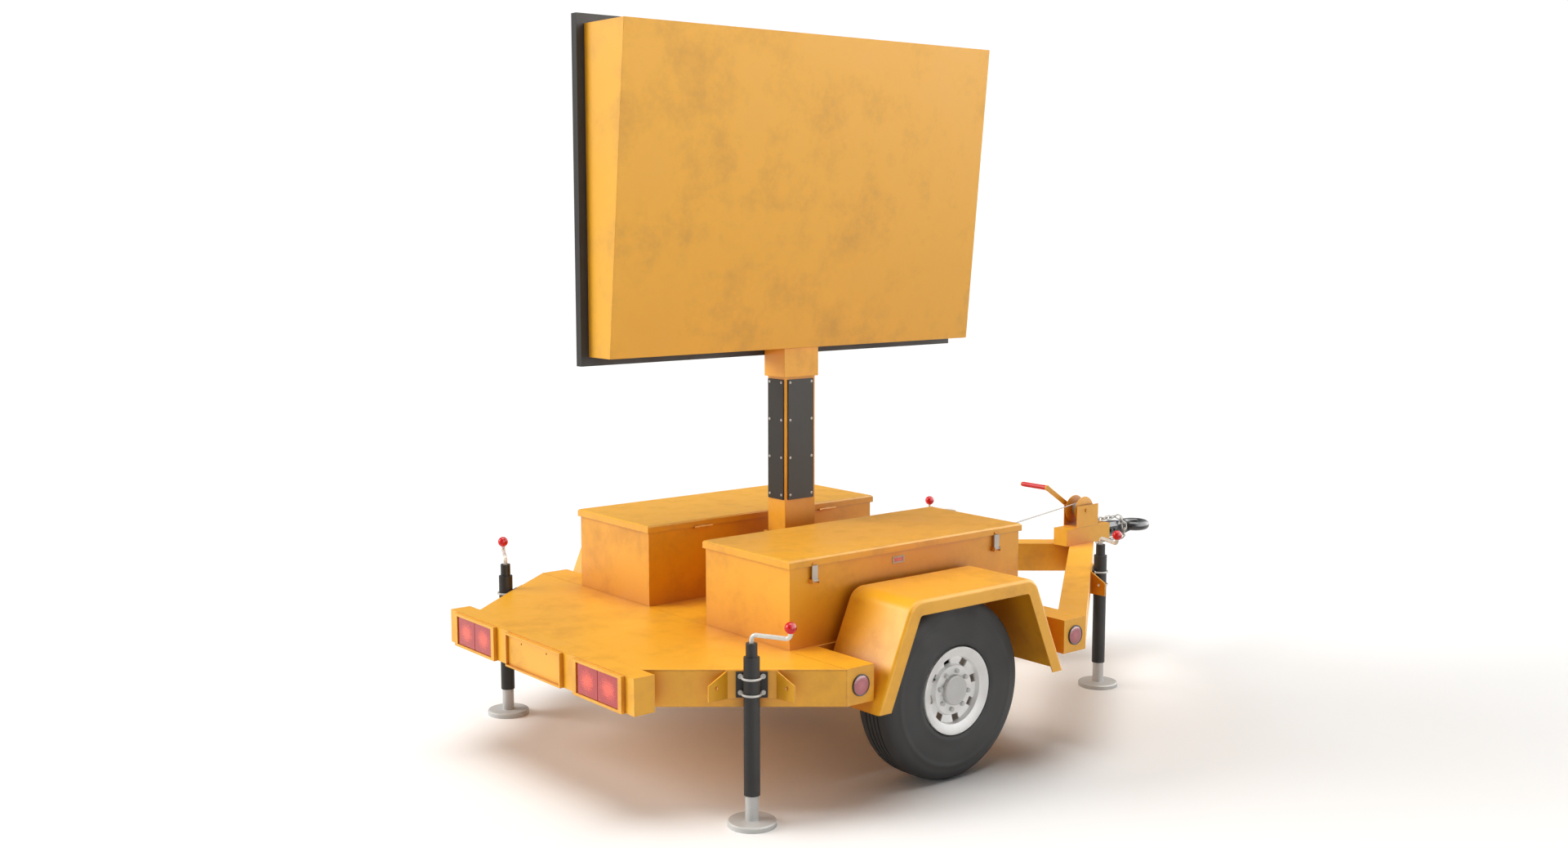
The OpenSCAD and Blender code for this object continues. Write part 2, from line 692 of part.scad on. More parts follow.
ub_r = 4;
module jack_u_bolts() color("silver") place() four_jacks() {
    R = jack_r + ub_r + touch;
    for (z = [26, 82]) translate([0, jack_off, br_z + z]) {
        rotate_extrude(angle = 180, $fn = 64) translate([R, 0]) circle(r = ub_r, $fn = 24);
        for (s = [-1, 1]) {
            translate([s * R, 0, 0]) rotate([90, 0, 0])
                cylinder(r = ub_r, h = jack_r - 4 - touch, $fn = 24);
            // bolt with its round head
            translate([s * 39, -jack_r + 4 + touch, 0]) rotate([-90, 0, 0])
                cylinder(r = 8.5, h = 6, $fn = 32);
            translate([s * 39, -jack_r + 5, 0]) rotate([90, 0, 0])
                cylinder(r = 4.5, h = 17, $fn = 24);
        }
    }
}

module leg() translate([0, jack_off, 0]) difference() {
    union() {
        translate([0, 0, foot_h - 3]) cylinder(r = leg_r, h = leg_top - foot_h + 3);
        cylinder(r = foot_r, h = foot_h - 4);
        translate([0, 0, foot_h - 4]) cylinder(r1 = foot_r, r2 = foot_r - 4, h = 4);
    }
    translate([0, 0, foot_h + 6]) cylinder(r = leg_r - 4, h = leg_top - foot_h - 6 - 20);
    translate([0, 0, leg_top - 30]) cylinder(r = rod_r + slide_fit, h = 40);
}
module jack_leg_rear_left() color("lightgray") place() at_jack(false, 1) leg();
module jack_leg_rear_right() color("lightgray") place() at_jack(false, -1) leg();
module jack_leg_front_left() color("lightgray") place() at_jack(true, 1) leg();
module jack_leg_front_right() color("lightgray") place() at_jack(true, -1) leg();

module crank(a) translate([0, jack_off, 0]) {
    translate([0, 0, 170]) cylinder(r = rod_r, h = arm_z - 170);
    // thrust collar inside the tube's top
    translate([0, 0, jack_top - 10 - touch - 6]) cylinder(r = 16, h = 6);
    translate([0, 0, arm_z]) sphere(r = elbow_r);
    rotate([0, 0, a]) {
        translate([0, 0, arm_z]) rotate([0, 90, 0]) cylinder(r = rod_r, h = crank_len);
        translate([crank_len, 0, arm_z]) sphere(r = elbow_r);
        translate([crank_len, 0, arm_z]) cylinder(r = rod_r, h = knob_z - arm_z - 4);
    }
}
module knob(a) translate([0, jack_off, 0]) rotate([0, 0, a]) difference() {
    translate([crank_len, 0, knob_z]) sphere(r = knob_r);
    translate([crank_len, 0, arm_z]) cylinder(r = rod_r + 0.02, h = knob_z - arm_z - 4 + 0.02);
}
module jack_crank_rear_left() color("silver") place() at_jack(false, 1) crank(crank_ang_rear);
module jack_crank_rear_right() color("silver") place() at_jack(false, -1) crank(crank_ang_rear);
module jack_crank_front_left() color("silver") place() at_jack(true, 1) crank(crank_ang_front);
module jack_crank_front_right() color("silver") place() at_jack(true, -1) crank(crank_ang_front);
module jack_knob_rear_left() color("red") place() at_jack(false, 1) knob(crank_ang_rear);
module jack_knob_rear_right() color("red") place() at_jack(false, -1) knob(crank_ang_rear);
module jack_knob_front_left() color("red") place() at_jack(true, 1) knob(crank_ang_front);
module jack_knob_front_right() color("red") place() at_jack(true, -1) knob(crank_ang_front);

// ---------- equipment boxes (drawn for the left side) ----------

module box() {
    difference() {
        translate([box_x0, box_y0, deck_h]) cube([box_len, box_w, box_h]);
        translate([box_x0 + box_t, box_y0 + box_t, deck_h + box_t])
            cube([box_len - 2 * box_t, box_w - 2 * box_t, box_h]);
    }
    for (h = hinge_at) translate([box_x0 + h - hinge_len / 2, 0, 0]) {
        // leaf, two outer knuckles and the pin
        translate([0, hinge_y, hinge_z - hinge_r]) cube([hinge_len / 3 - clear, box_y0 - hinge_y, 3]);
        translate([hinge_len * 2 / 3 + clear, hinge_y, hinge_z - hinge_r])
            cube([hinge_len / 3 - clear, box_y0 - hinge_y, 3]);
        for (x = [0, hinge_len * 2 / 3 + clear]) translate([x, hinge_y, hinge_z])
            rotate([0, 90, 0]) cylinder(r = hinge_r, h = hinge_len / 3 - clear, $fn = 32);
        translate([0, hinge_y, hinge_z]) rotate([0, 90, 0]) cylinder(r = pin_r, h = hinge_len, $fn = 32);
    }
    // ears that carry the latches
    for (l = latch_at) translate([box_x0 + l, 0, 0]) for (s = [-1, 1])
        difference() {
            translate([s * (latch_w / 2 + 2.5) - 2, box_y1 - eps, latch_z - 8])
                cube([4, latch_y - box_y1 + 6, 16]);
            translate([s * (latch_w / 2 + 2.5) - 3, latch_y, latch_z]) rotate([0, 90, 0])
                cylinder(r = 3 + run_fit, h = 6, $fn = 32);
        }
}

module lid() {
    l = box_len + 2 * lid_out;
    w = box_w + 2 * lid_out;
    c = 6;
    difference() {
        intersection() {
            translate([box_x0 - lid_out, box_y0 - lid_out, 0]) rotate([90, 0, 90])
                linear_extrude(l) polygon([[0, lid_z0], [w, lid_z0], [w, lid_top - c],
                                           [w - c, lid_top], [c, lid_top], [0, lid_top - c]]);
            translate([box_x0 - lid_out, box_y1 + lid_out, 0]) rotate([90, 0, 0])
                linear_extrude(w) polygon([[0, lid_z0], [l, lid_z0], [l, lid_top - c],
                                           [l - c, lid_top], [c, lid_top], [0, lid_top - c]]);
        }
        translate([box_x0 - lid_gap, box_y0 - lid_gap, lid_z0 - 1])
            cube([box_len + 2 * lid_gap, box_w + 2 * lid_gap, lid_h - box_t + 1]);
    }
    for (h = hinge_at) translate([box_x0 + h - hinge_len / 2, 0, 0]) difference() {
        union() {
            translate([hinge_len / 3, hinge_y, hinge_z]) rotate([0, 90, 0])
                cylinder(r = hinge_r, h = hinge_len / 3, $fn = 32);
            translate([hinge_len / 3, hinge_y, hinge_z + 1.4])
                cube([hinge_len / 3, box_y0 - lid_out - hinge_y + 1, 3]);
        }
        translate([hinge_len / 3 - 1, hinge_y, hinge_z]) rotate([0, 90, 0])
            cylinder(r = pin_r + run_fit, h = hinge_len / 3 + 2, $fn = 32);
    }
    // keepers that the latches close against
    for (k = latch_at) translate([box_x0 + k - 10, box_y1 + lid_out - eps, lid_z0 + 5])
        cube([20, 5, 7]);
}

module latch(k) translate([box_x0 + latch_at[k], 0, 0]) {
    translate([-latch_w / 2 - 4, latch_y, latch_z]) rotate([0, 90, 0])
        cylinder(r = 3, h = latch_w + 8, $fn = 32);
    translate([-latch_w / 2, latch_y - 3, latch_z]) cube([latch_w, 3.5, 57]);
    translate([-latch_w / 2, latch_y, latch_z + 2]) cube([latch_w, 7, 4]);
}

module box_left() color("orange") place() box();
module box_right() color("orange") place() right() box();
module lid_left() color("orange") place() lid();
module lid_right() color("orange") place() right() lid();
module latch_left_rear() color("silver") place() latch(0);
module latch_left_front() color("silver") place() latch(1);
module latch_right_rear() color("silver") place() right() latch(0);
module latch_right_front() color("silver") place() right() latch(1);

bat = [172, 330, 205];
module battery_bank() color("dimgray") place()
    for (i = [0 : 3]) translate([box_x0 + 140 + i * (bat[0] + 12), -box_y0 - box_w / 2 - bat[1] / 2,
                                 deck_h + box_t]) {
        cube(bat);
        for (y = [50, bat[1] - 50]) translate([bat[0] / 2, y, bat[2] - eps]) cylinder(r = 9, h = 15);
    }

// ---------- mast ----------

module outer_mast() color("orange") place() {
    w = mast_wall;
    difference() {
        union() {
            translate([sl_x0 - w, -sl_y - w, sleeve_low])
                cube([sl_x1 - sl_x0 + 2 * w, 2 * (sl_y + w), sleeve_top - sleeve_low]);
            // base plate on the deck
            translate([sl_x0 - w - 60, -sl_y - w - 60, deck_h])
                cube([foot_sheave_x - sl_x0 + w + 60 + 45, 2 * (sl_y + w + 60), 8]);
            // gussets
            for (y = [-sl_y + 10, sl_y - 16]) translate([sl_x0 - w, y + 6, 0]) rotate([90, 0, 0])
                linear_extrude(6) polygon([[0, deck_h], [-50, deck_h], [-50, deck_h + 20], [0, deck_h + 110]]);
            // ears of the two sheaves
            for (s = [-1, 1]) {
                translate([sl_x1, s * 13 - 3, top_sheave_z - 18]) cube([sheave_r + w + 6, 6, 36]);
                translate([foot_sheave_x - 16, s * 13 - 3, deck_h]) cube([32, 6, foot_sheave_z - deck_h + 16]);
            }
            translate([top_sheave_x, -16, top_sheave_z]) rotate([-90, 0, 0]) cylinder(r = 5, h = 32);
            translate([foot_sheave_x, -16, foot_sheave_z]) rotate([-90, 0, 0]) cylinder(r = 5, h = 32);
        }
        translate([sl_x0, -sl_y, sleeve_low - 1])
            cube([sl_x1 - sl_x0, 2 * sl_y, sleeve_top - sleeve_low + 2]);
        // the top sheave's slot
        translate([sl_x1 - 1, -10, top_sheave_z - 34]) cube([w + 2, 20, 80]);
        for (x = [sl_x0 - w - 40, foot_sheave_x + 30], y = [-sl_y - w - 40, sl_y + w + 40])
            translate([x, y, deck_h - 1]) cylinder(r = 7, h = 10, $fn = 32);
    }
    // guide strips beside the cable's channel
    for (z = [sleeve_top - 40, sleeve_top - 110], s = [-1, 1])
        translate([mast_x / 2 + wear_t + clear, s > 0 ? 18 : -sl_y, z])
            cube([front_gap - wear_t - clear + eps, sl_y - 18, 36]);
}

bead_over = 0.6;     // how far the cable's bead stands over its surface
groove_r = sheave_r - cable_r - bead_over - 0.1;
module sheave() rotate([90, 0, 0]) rotate_extrude($fn = 64)
    polygon([[5 + run_fit, -8], [sheave_r + 4, -8], [sheave_r + 4, -6], [groove_r, -3],
             [groove_r, 3], [sheave_r + 4, 6], [sheave_r + 4, 8], [5 + run_fit, 8]]);
module foot_sheave() color("silver") place() translate([foot_sheave_x, 0, foot_sheave_z]) sheave();
module top_sheave() color("silver") place() translate([top_sheave_x, 0, top_sheave_z]) sheave();

// the cable's line from the foot sheave's underside to the top of the drum's wraps
cab_dx = drum_x - foot_sheave_x;
cab_dz = drum_z - foot_sheave_z;
cab_off = sheave_r + wrap_r + cable_r;
cab_ang = atan2(cab_dz, cab_dx) + asin(cab_off / norm([cab_dx, cab_dz]));
cab_len = sqrt(cab_dx * cab_dx + cab_dz * cab_dz - cab_off * cab_off);
module hoist_cable() color("lightgray") place() {
    r = cable_r;
    z_end = mast_low + shoe_h + touch;
    translate([cable_x, 0, z_end]) cylinder(r = r, h = top_sheave_z - z_end, $fn = 24);
    translate([cable_x, 0, z_end]) cylinder(r = r + 2, h = 24, $fn = 24);
    translate([top_sheave_x, 0, top_sheave_z]) rotate([90, 0, 0])
        rotate_extrude(angle = 180, $fn = 64) translate([sheave_r, 0]) circle(r = r, $fn = 24);
    translate([top_sheave_x + sheave_r, 0, foot_sheave_z])
        cylinder(r = r, h = top_sheave_z - foot_sheave_z, $fn = 24);
    translate([foot_sheave_x, 0, foot_sheave_z]) rotate([90, 0, 0]) {
        rotate([0, 0, 180]) rotate_extrude(angle = 90 + cab_ang, $fn = 64)
            translate([sheave_r, 0]) circle(r = r, $fn = 24);
        // the bead covers the step from the bend to the straight run
        rotate([0, 0, cab_ang - 90]) translate([sheave_r, 0, 0]) {
            rotate([90, 0, 0]) sphere(r = r + bead_over, $fn = 24);
            translate([0, -1, 0]) rotate([-90, 0, 0]) cylinder(r = r, h = cab_len + 1, $fn = 24);
        }
    }
}

module inner_mast() color("orange") place() {
    difference() {
        union() {
            translate([-mast_x / 2, -mast_y / 2, mast_low]) cube([mast_x, mast_y, mast_top - touch - mast_low]);
            // guide shoe at the foot
            translate([sl_x0 + clear, -sl_y + clear, mast_low])
                cube([sl_x1 - sl_x0 - 2 * clear, 2 * (sl_y - clear), shoe_h]);
        }
        translate([-mast_x / 2 + mast_wall, -mast_y / 2 + mast_wall, mast_low - 1])
            cube([mast_x - 2 * mast_wall, mast_y - 2 * mast_wall, mast_top - touch - mast_low - 9]);
    }
    // turning post and its retaining washer
    translate([0, 0, mast_top - touch - eps]) cylinder(r = post_r, h = collar_h + case_t + plate_in + touch + clear + eps);
    translate([0, 0, mast_top + collar_h + case_t + plate_in + clear]) cylinder(r = post_r + 12, h = 8);
}

module wear_plates() color("dimgray") place() {
    wx = mast_x - 23;
    wy = mast_y - 15;
    for (s = [-1, 1]) {
        translate([-wx / 2, s > 0 ? mast_y / 2 : -mast_y / 2 - wear_t, wear_z0]) cube([wx, wear_t, wear_len]);
        translate([s > 0 ? mast_x / 2 : -mast_x / 2 - wear_t, -wy / 2, wear_z0]) cube([wear_t, wy, wear_len]);
    }
}

// ---------- sign ----------

module sign_frame() color("orange") place() difference() {
    union() {
        translate([-collar_x / 2, -collar_y / 2, mast_top]) cube([collar_x, collar_y, collar_h]);
        translate([0, 0, case_low - eps]) cylinder(r = post_r + 12, h = case_t + 2 * eps);
        translate([-220, -collar_y / 2 + 2, case_low + case_t]) cube([440, panel_y + collar_y / 2 - 2, plate_in]);
        // posts and rails that carry the panel
        for (x = [-200, 160]) translate([x, panel_y - 40, case_low + case_t])
            cube([40, 40, panel_h - 2 * panel_edge - 40]);
        for (z = [0.35, 0.8]) translate([-case_w / 2 + 40, panel_y - 30, case_low + z * panel_h])
            cube([case_w - 80, 30, 40]);
    }
    translate([0, 0, mast_top - 1]) cylinder(r = post_r + run_fit, h = collar_h + case_t + plate_in + 2);
}

// the housing's side outline, moved in by o
module case_side(o) {
    k = (case_top_d - case_low_d) / case_h;
    y0 = panel_y - case_low_d + o * sqrt(1 + k * k);
    polygon([[panel_y - (o > 0 ? -1 : 0), case_low + o], [y0 - o * k, case_low + o],
             [y0 - (case_h - o) * k, case_low + case_h - o],
             [panel_y - (o > 0 ? -1 : 0), case_low + case_h - o]]);
}
module sign_housing() color("orange") place() difference() {
    translate([-case_w / 2, 0, 0]) rotate([90, 0, 90]) linear_extrude(case_w) case_side(0);
    translate([-case_w / 2 + case_t, 0, 0]) rotate([90, 0, 90])
        linear_extrude(case_w - 2 * case_t) case_side(case_t);
    translate([0, 0, case_low - 1]) cylinder(r = post_r + 13, h = case_t + 2);
}

// lamp pattern: the shaft row and the arrow heads and chevrons, in grid steps
lamp_px = panel_w / 11.6;
lamp_pz = panel_h / 5.4;
lamp_z = panel_low + panel_h / 2;
lamp_pat = [for (x = [-5 : 1 : 5]) [x, 0],
            for (x = [-4, -1, 1, 4], s = [-1, 1]) [x, s],
            for (x = [-3, 0, 3], s = [-1, 1]) [x, 2 * s]];
module display_panel() color("dimgray") place() {
    t = 3;
    difference() {
        translate([-panel_w / 2, panel_y, panel_low]) cube([panel_w, panel_t, panel_h]);
        translate([-panel_w / 2 + t, panel_y + t, panel_low + t])
            cube([panel_w - 2 * t, panel_t - 2 * t, panel_h - 2 * t]);
        translate([-case_w / 2 + 30, panel_y - 1, case_low + 30])
            cube([case_w - 60, t + 2, case_h - 60]);
        for (p = lamp_pat) translate([p[0] * lamp_px, panel_y + panel_t - t - 1, lamp_z + p[1] * lamp_pz])
            rotate([-90, 0, 0]) cylinder(d = lamp_d - 8, h = t + 2, $fn = 48);
    }
    // a half-round visor over each lamp
    for (p = lamp_pat) translate([p[0] * lamp_px, panel_y + panel_t - eps, lamp_z + p[1] * lamp_pz])
        rotate([-90, 0, 0]) difference() {
            cylinder(d = lamp_d + 14, h = 60, $fn = 48);
            translate([0, 0, -1]) cylinder(d = lamp_d + 8, h = 62, $fn = 48);
            translate([-lamp_d, 0, -1]) cube([2 * lamp_d, lamp_d, 62]);
        }
}
module lamps() color("gold") place()
    for (p = lamp_pat) translate([p[0] * lamp_px, panel_y + panel_t, lamp_z + p[1] * lamp_pz])
        rotate([-90, 0, 0]) {
            cylinder(d = lamp_d, h = 5, $fn = 48);
            translate([0, 0, 5]) cylinder(d1 = lamp_d - 4, d2 = lamp_d - 24, h = 8, $fn = 48);
            translate([0, 0, -12]) cylinder(d = lamp_d - 9, h = 12, $fn = 48);
        }

// ---------- winch ----------

wf_x0 = drum_x - 62;
wf_x1 = drum_x + 86;
wf_y = 38;
module winch_frame() color("orange") place() {
    difference() {
        union() {
            for (s = [-1, 1]) translate([wf_x0, s > 0 ? wf_y : -wf_y - 4, z_ct])
                cube([wf_x1 - wf_x0, 4, drum_h + 25]);
            translate([wf_x0, -wf_y, z_ct]) cube([wf_x1 - wf_x0, 2 * wf_y, 4]);
        }
        translate([drum_x, -60, drum_z]) rotate([-90, 0, 0])
            cylinder(r = drum_shaft_r + run_fit, h = 120);
    }
}
module winch_drum() color("orange") place() translate([drum_x, 0, drum_z]) rotate([-90, 0, 0]) {
    translate([0, 0, -wf_y - 10]) cylinder(r = drum_shaft_r, h = 2 * wf_y + 14 + 16);
    translate([0, 0, -27]) cylinder(r = wrap_r - 2 * cable_r, h = 54);
    for (z = [-31, 27]) translate([0, 0, z]) cylinder(r = flange_r, h = 4);
    // wraps of cable on the drum
    for (i = [-3 : 3]) translate([0, 0, i * 7.4]) rotate_extrude()
        translate([wrap_r - 2 * cable_r + 2.8, 0]) circle(r = 2.9, $fn = 20);
}
lever_tip = [drum_x + lever_len * cos(lever_ang), 0, drum_z + lever_len * sin(lever_ang)];
grip_len = 150;
grip_bore = 6;
lever_t = 6;
module winch_lever() color("orange") place() translate([drum_x, lever_y0, drum_z])
    rotate([-90, 0, 0]) rotate([0, 0, -lever_ang]) {
        difference() {
            linear_extrude(lever_t) union() {
                circle(r = 20);
                translate([0, -12]) square([lever_len, 24]);
                translate([lever_len, 0]) circle(r = 13.5);
            }
            translate([0, 0, -1]) cylinder(r = drum_shaft_r + run_fit, h = lever_t + 2);
        }
        // spindle of the grip and its end button
        translate([lever_len, 0, lever_t - eps]) cylinder(r = grip_bore, h = grip_len + 2 + eps);
        translate([lever_len, 0, lever_t + grip_len + 2 - eps]) cylinder(r = 10, h = 4);
    }
module winch_grip() color("red") place()
    translate([lever_tip[0], lever_y0 + lever_t + 1, lever_tip[2]]) rotate([-90, 0, 0]) difference() {
        cylinder(r = 11.5, h = grip_len);
        translate([0, 0, -1]) cylinder(r = grip_bore + run_fit, h = grip_len + 2);
    }

// ---------- output ----------

rear_cross_member();
front_cross_member();
side_rails();
tail_rails();
deck_plates();
bumper();
lamp_housings();
tail_lenses();
reflectors();
tongue_beams();
coupler_tube();
lunette();
safety_chain();
torsion_axle();
fender_left();
fender_right();
jack_brackets();
jack_tubes();
jack_u_bolts();
jack_leg_rear_left();
jack_leg_rear_right();
jack_leg_front_left();
jack_leg_front_right();
jack_crank_rear_left();
jack_crank_rear_right();
jack_crank_front_left();
jack_crank_front_right();
jack_knob_rear_left();
jack_knob_rear_right();
jack_knob_front_left();
jack_knob_front_right();
box_left();
box_right();
lid_left();
lid_right();
latch_left_rear();
latch_left_front();
latch_right_rear();
latch_right_front();
battery_bank();
outer_mast();
hoist_cable();
foot_sheave();
top_sheave();
inner_mast();
wear_plates();
sign_frame();
sign_housing();
display_panel();
lamps();
winch_frame();
winch_drum();
winch_lever();
winch_grip();
tyre_left();
tyre_right();
wheel_left();
wheel_right();
hub_left();
hub_right();
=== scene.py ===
# %% [markdown]
# # A towed arrow board
# This lesson dresses a trailer whose frame, joints and sizes are already fixed. The frame comes in as it
# stands, and every piece made here sits around it, in metres, +X to the tow eye, +Z up.

import json
import math

import bmesh
import bpy
from mathutils import Matrix, Vector


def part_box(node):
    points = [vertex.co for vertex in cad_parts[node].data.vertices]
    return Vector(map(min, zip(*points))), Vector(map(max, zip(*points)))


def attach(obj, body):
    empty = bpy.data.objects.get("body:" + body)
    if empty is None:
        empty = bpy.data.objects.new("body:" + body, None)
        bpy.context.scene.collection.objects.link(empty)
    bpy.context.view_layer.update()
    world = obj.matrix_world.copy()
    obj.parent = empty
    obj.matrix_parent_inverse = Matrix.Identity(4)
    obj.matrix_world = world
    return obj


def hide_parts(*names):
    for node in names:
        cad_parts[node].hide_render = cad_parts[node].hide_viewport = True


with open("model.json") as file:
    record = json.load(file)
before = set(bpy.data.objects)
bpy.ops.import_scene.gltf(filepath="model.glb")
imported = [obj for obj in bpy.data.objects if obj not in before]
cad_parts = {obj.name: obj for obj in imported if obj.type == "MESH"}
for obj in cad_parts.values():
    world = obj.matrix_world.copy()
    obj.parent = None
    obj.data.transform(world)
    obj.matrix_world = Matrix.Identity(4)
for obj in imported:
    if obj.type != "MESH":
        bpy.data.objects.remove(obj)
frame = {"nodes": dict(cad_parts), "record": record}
nodes = frame["nodes"]
scene = bpy.context.scene
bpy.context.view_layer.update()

# %% [markdown]
# ## Colour and light
# Paint colours are written as the hex values a sign shop would use. Blender mixes light in linear values,
# so one function turns each hex into linear. The plain view keeps a strong yellow strong.

# %% Colours from hex


def linear(hex_value):
    """An sRGB hex colour as Blender's linear RGBA."""
    channels = [int(hex_value[i:i + 2], 16) / 255 for i in (0, 2, 4)]
    return [c / 12.92 if c <= 0.04045 else ((c + 0.055) / 1.055) ** 2.4 for c in channels] + [1.0]


scene.view_settings.view_transform = "Standard"
scene.view_settings.look = "None"
scene.view_settings.exposure = 0
scene.view_settings.gamma = 1
YELLOW = "F8B31A"
print("yellow", [round(c, 3) for c in linear(YELLOW)])

# %% [markdown]
# ## Camera
# The view is from behind the trailer's right corner, a little above head height, with the lens tipped down
# a few degrees. The camera is placed by its position, its heading and its pitch, which is easier to reason
# about than three Euler angles.

# %% Camera


def camera_matrix(place, heading, pitch, roll):
    """A camera's world matrix from its place and three angles in degrees, heading measured from +X to +Y."""
    heading, pitch, roll = (math.radians(a) for a in (heading, pitch, roll))
    level = Vector((math.cos(heading), math.sin(heading), 0))
    forward = level * math.cos(pitch) + Vector((0, 0, math.sin(pitch)))
    right = forward.cross(Vector((0, 0, 1))).normalized()
    up = right.cross(forward)
    tilted_right = right * math.cos(roll) + up * math.sin(roll)
    tilted_up = up * math.cos(roll) - right * math.sin(roll)
    turn = Matrix((tilted_right, tilted_up, -forward)).transposed()
    return Matrix.Translation(place) @ turn.to_4x4()


camera = bpy.data.objects.new("camera", bpy.data.cameras.new("camera"))
scene.collection.objects.link(camera)
camera.matrix_world = camera_matrix((-4.672, -5.098, 2.0331), 51.2227, -6.8947, -0.0712)
camera.data.sensor_width = 36
camera.data.lens = 37.72
camera.data.shift_x = 0.00336
camera.data.shift_y = -0.00068
camera.data.clip_end = 200
scene.camera = camera
print("camera", round(camera.location.length, 2), "m from the origin,", camera.data.lens, "mm lens")

# %% [markdown]
# ## Studio
# The trailer stands on a white sweep. The key is a broad soft light from behind the left corner, with a
# broader one overhead, so the rear faces and the decks are bright and the right side is in open shade. The
# surround is white to the eye, and brighter on the right than on the left for reflections, as with a big
# reflector board.

# %% Node helper


def add(tree, kind, values=None, links=None, **settings):
    """Adds one node: settings are its attributes, values its unlinked inputs, links its linked ones."""
    made = tree.nodes.new(kind)
    for name, value in settings.items():
        setattr(made, name, value)
    for key, value in (values or {}).items():
        made.inputs[key].default_value = value
    for key, socket in (links or {}).items():
        tree.links.new(socket, made.inputs[key])
    return made


# %% Surround
BOARD_WAY = (0.62, -0.76, 0.15)
WHITE_TO_THE_EYE = 1.05
world = bpy.data.worlds.new("studio")
world.use_nodes = True
scene.world = world
sky = world.node_tree
sky.nodes.clear()
look = add(sky, "ShaderNodeTexCoord")
toward_board = add(sky, "ShaderNodeVectorMath", {1: BOARD_WAY}, {0: look.outputs["Generated"]},
                   operation="DOT_PRODUCT")
board = add(sky, "ShaderNodeMapRange", {"From Min": -0.6, "From Max": 0.9, "To Min": 0.04, "To Max": 0.12},
            {"Value": toward_board.outputs["Value"]}, interpolation_type="SMOOTHSTEP")
shine = add(sky, "ShaderNodeMapRange", {"From Min": 0.1, "From Max": 0.9, "To Min": 0.3, "To Max": 6.0},
            {"Value": toward_board.outputs["Value"]}, interpolation_type="SMOOTHSTEP")
ray = add(sky, "ShaderNodeLightPath")
unseen = add(sky, "ShaderNodeMix", None,
             {"Factor": ray.outputs["Is Glossy Ray"], "A": board.outputs["Result"],
              "B": shine.outputs["Result"]}, data_type="FLOAT")
strength = add(sky, "ShaderNodeMix", {"B": WHITE_TO_THE_EYE},
               {"Factor": ray.outputs["Is Camera Ray"], "A": unseen.outputs["Result"]}, data_type="FLOAT")
background = add(sky, "ShaderNodeBackground", {"Color": (1, 1, 1, 1)},
                 {"Strength": strength.outputs["Result"]})
add(sky, "ShaderNodeOutputWorld", links={"Surface": background.outputs["Background"]})
print(len(sky.nodes), "nodes in the surround")

# %% Two broad suns
WARM_WHITE = (1.0, 0.985, 0.96)
SUNS = {"key_sun": (2.3, 40, (-0.70, 0.58, 0.42)), "top_sun": (2.25, 46, (0.0, 0.06, 1.0))}
for name, (energy, spread, toward) in SUNS.items():
    sun = bpy.data.objects.new(name, bpy.data.lights.new(name, "SUN"))
    sun.data.energy = energy
    sun.data.angle = math.radians(spread)
    sun.data.color = WARM_WHITE
    sun.rotation_euler = Vector(toward).to_track_quat("Z", "Y").to_euler()
    scene.collection.objects.link(sun)

# %% [markdown]
# The floor is matt white paper, wide enough that its edge never shows. It also throws soft light back up
# under the trailer.

# %% Floor
FLOOR_REACH = 40
floor_mesh = bpy.data.meshes.new("floor")
quarters = ((-1, -1), (1, -1), (1, 1), (-1, 1))
floor_mesh.from_pydata([(x * FLOOR_REACH, y * FLOOR_REACH, 0) for x, y in quarters], [], [(0, 1, 2, 3)])
floor = bpy.data.objects.new("floor", floor_mesh)
scene.collection.objects.link(floor)
paper = bpy.data.materials.new("white_sweep")
paper.use_nodes = True
shader = paper.node_tree.nodes["Principled BSDF"]
shader.inputs["Base Color"].default_value = linear("FDFDFD")
shader.inputs["Roughness"].default_value = 0.9
shader.inputs["Specular IOR Level"].default_value = 0.1
floor_mesh.materials.append(paper)
print("floor", 2 * FLOOR_REACH, "m square")

# %% [markdown]
# ## Finishes
# Each finish is named for what it really is. Patterns are three-dimensional noise read from Object
# coordinates, so they run on across a piece's faces with no seams, and their scales come from real sizes:
# a noise scale of 1000 divided by the feature in millimetres.

# %% Material helper


def finish(name, colour, roughness, metallic=0.0, **sockets):
    """A new material with its shader's constants set, then its node tree, its shader and its place socket."""
    made = bpy.data.materials.new(name)
    made.use_nodes = True
    tree = made.node_tree
    shader = tree.nodes["Principled BSDF"]
    shader.inputs["Base Color"].default_value = linear(colour)
    shader.inputs["Roughness"].default_value = roughness
    shader.inputs["Metallic"].default_value = metallic
    for key, value in sockets.items():
        shader.inputs[key.replace("_", " ")].default_value = value
    place = add(tree, "ShaderNodeTexCoord").outputs["Object"]
    return made, tree, shader, place


def feature(millimetres):
    """The noise scale whose features are about this size."""
    return 1000 / millimetres


# %% [markdown]
# ### Sprayed yellow enamel
# Road plant is sprayed with a thick two-pack enamel. It gives the eye a satin shine, a faint orange peel,
# cloudy brown staining where rain and dust have sat, and tinted edges where the coat is thin. The edge
# mask compares the true normal with one rounded by the Bevel node. Corners, recesses and faces near other
# parts are darkened towards deep orange as painted shade, from ambient occlusion, so both masks follow the
# shape without any painting by hand.

# %% Enamel
# Painted shade: the occlusion reach and the deep orange that darken corners and recesses.
EDGE_WEAR, PAINTED_SHADE_REACH, PAINTED_SHADE_ORANGE = 0.007, 0.28, "AA4A06"


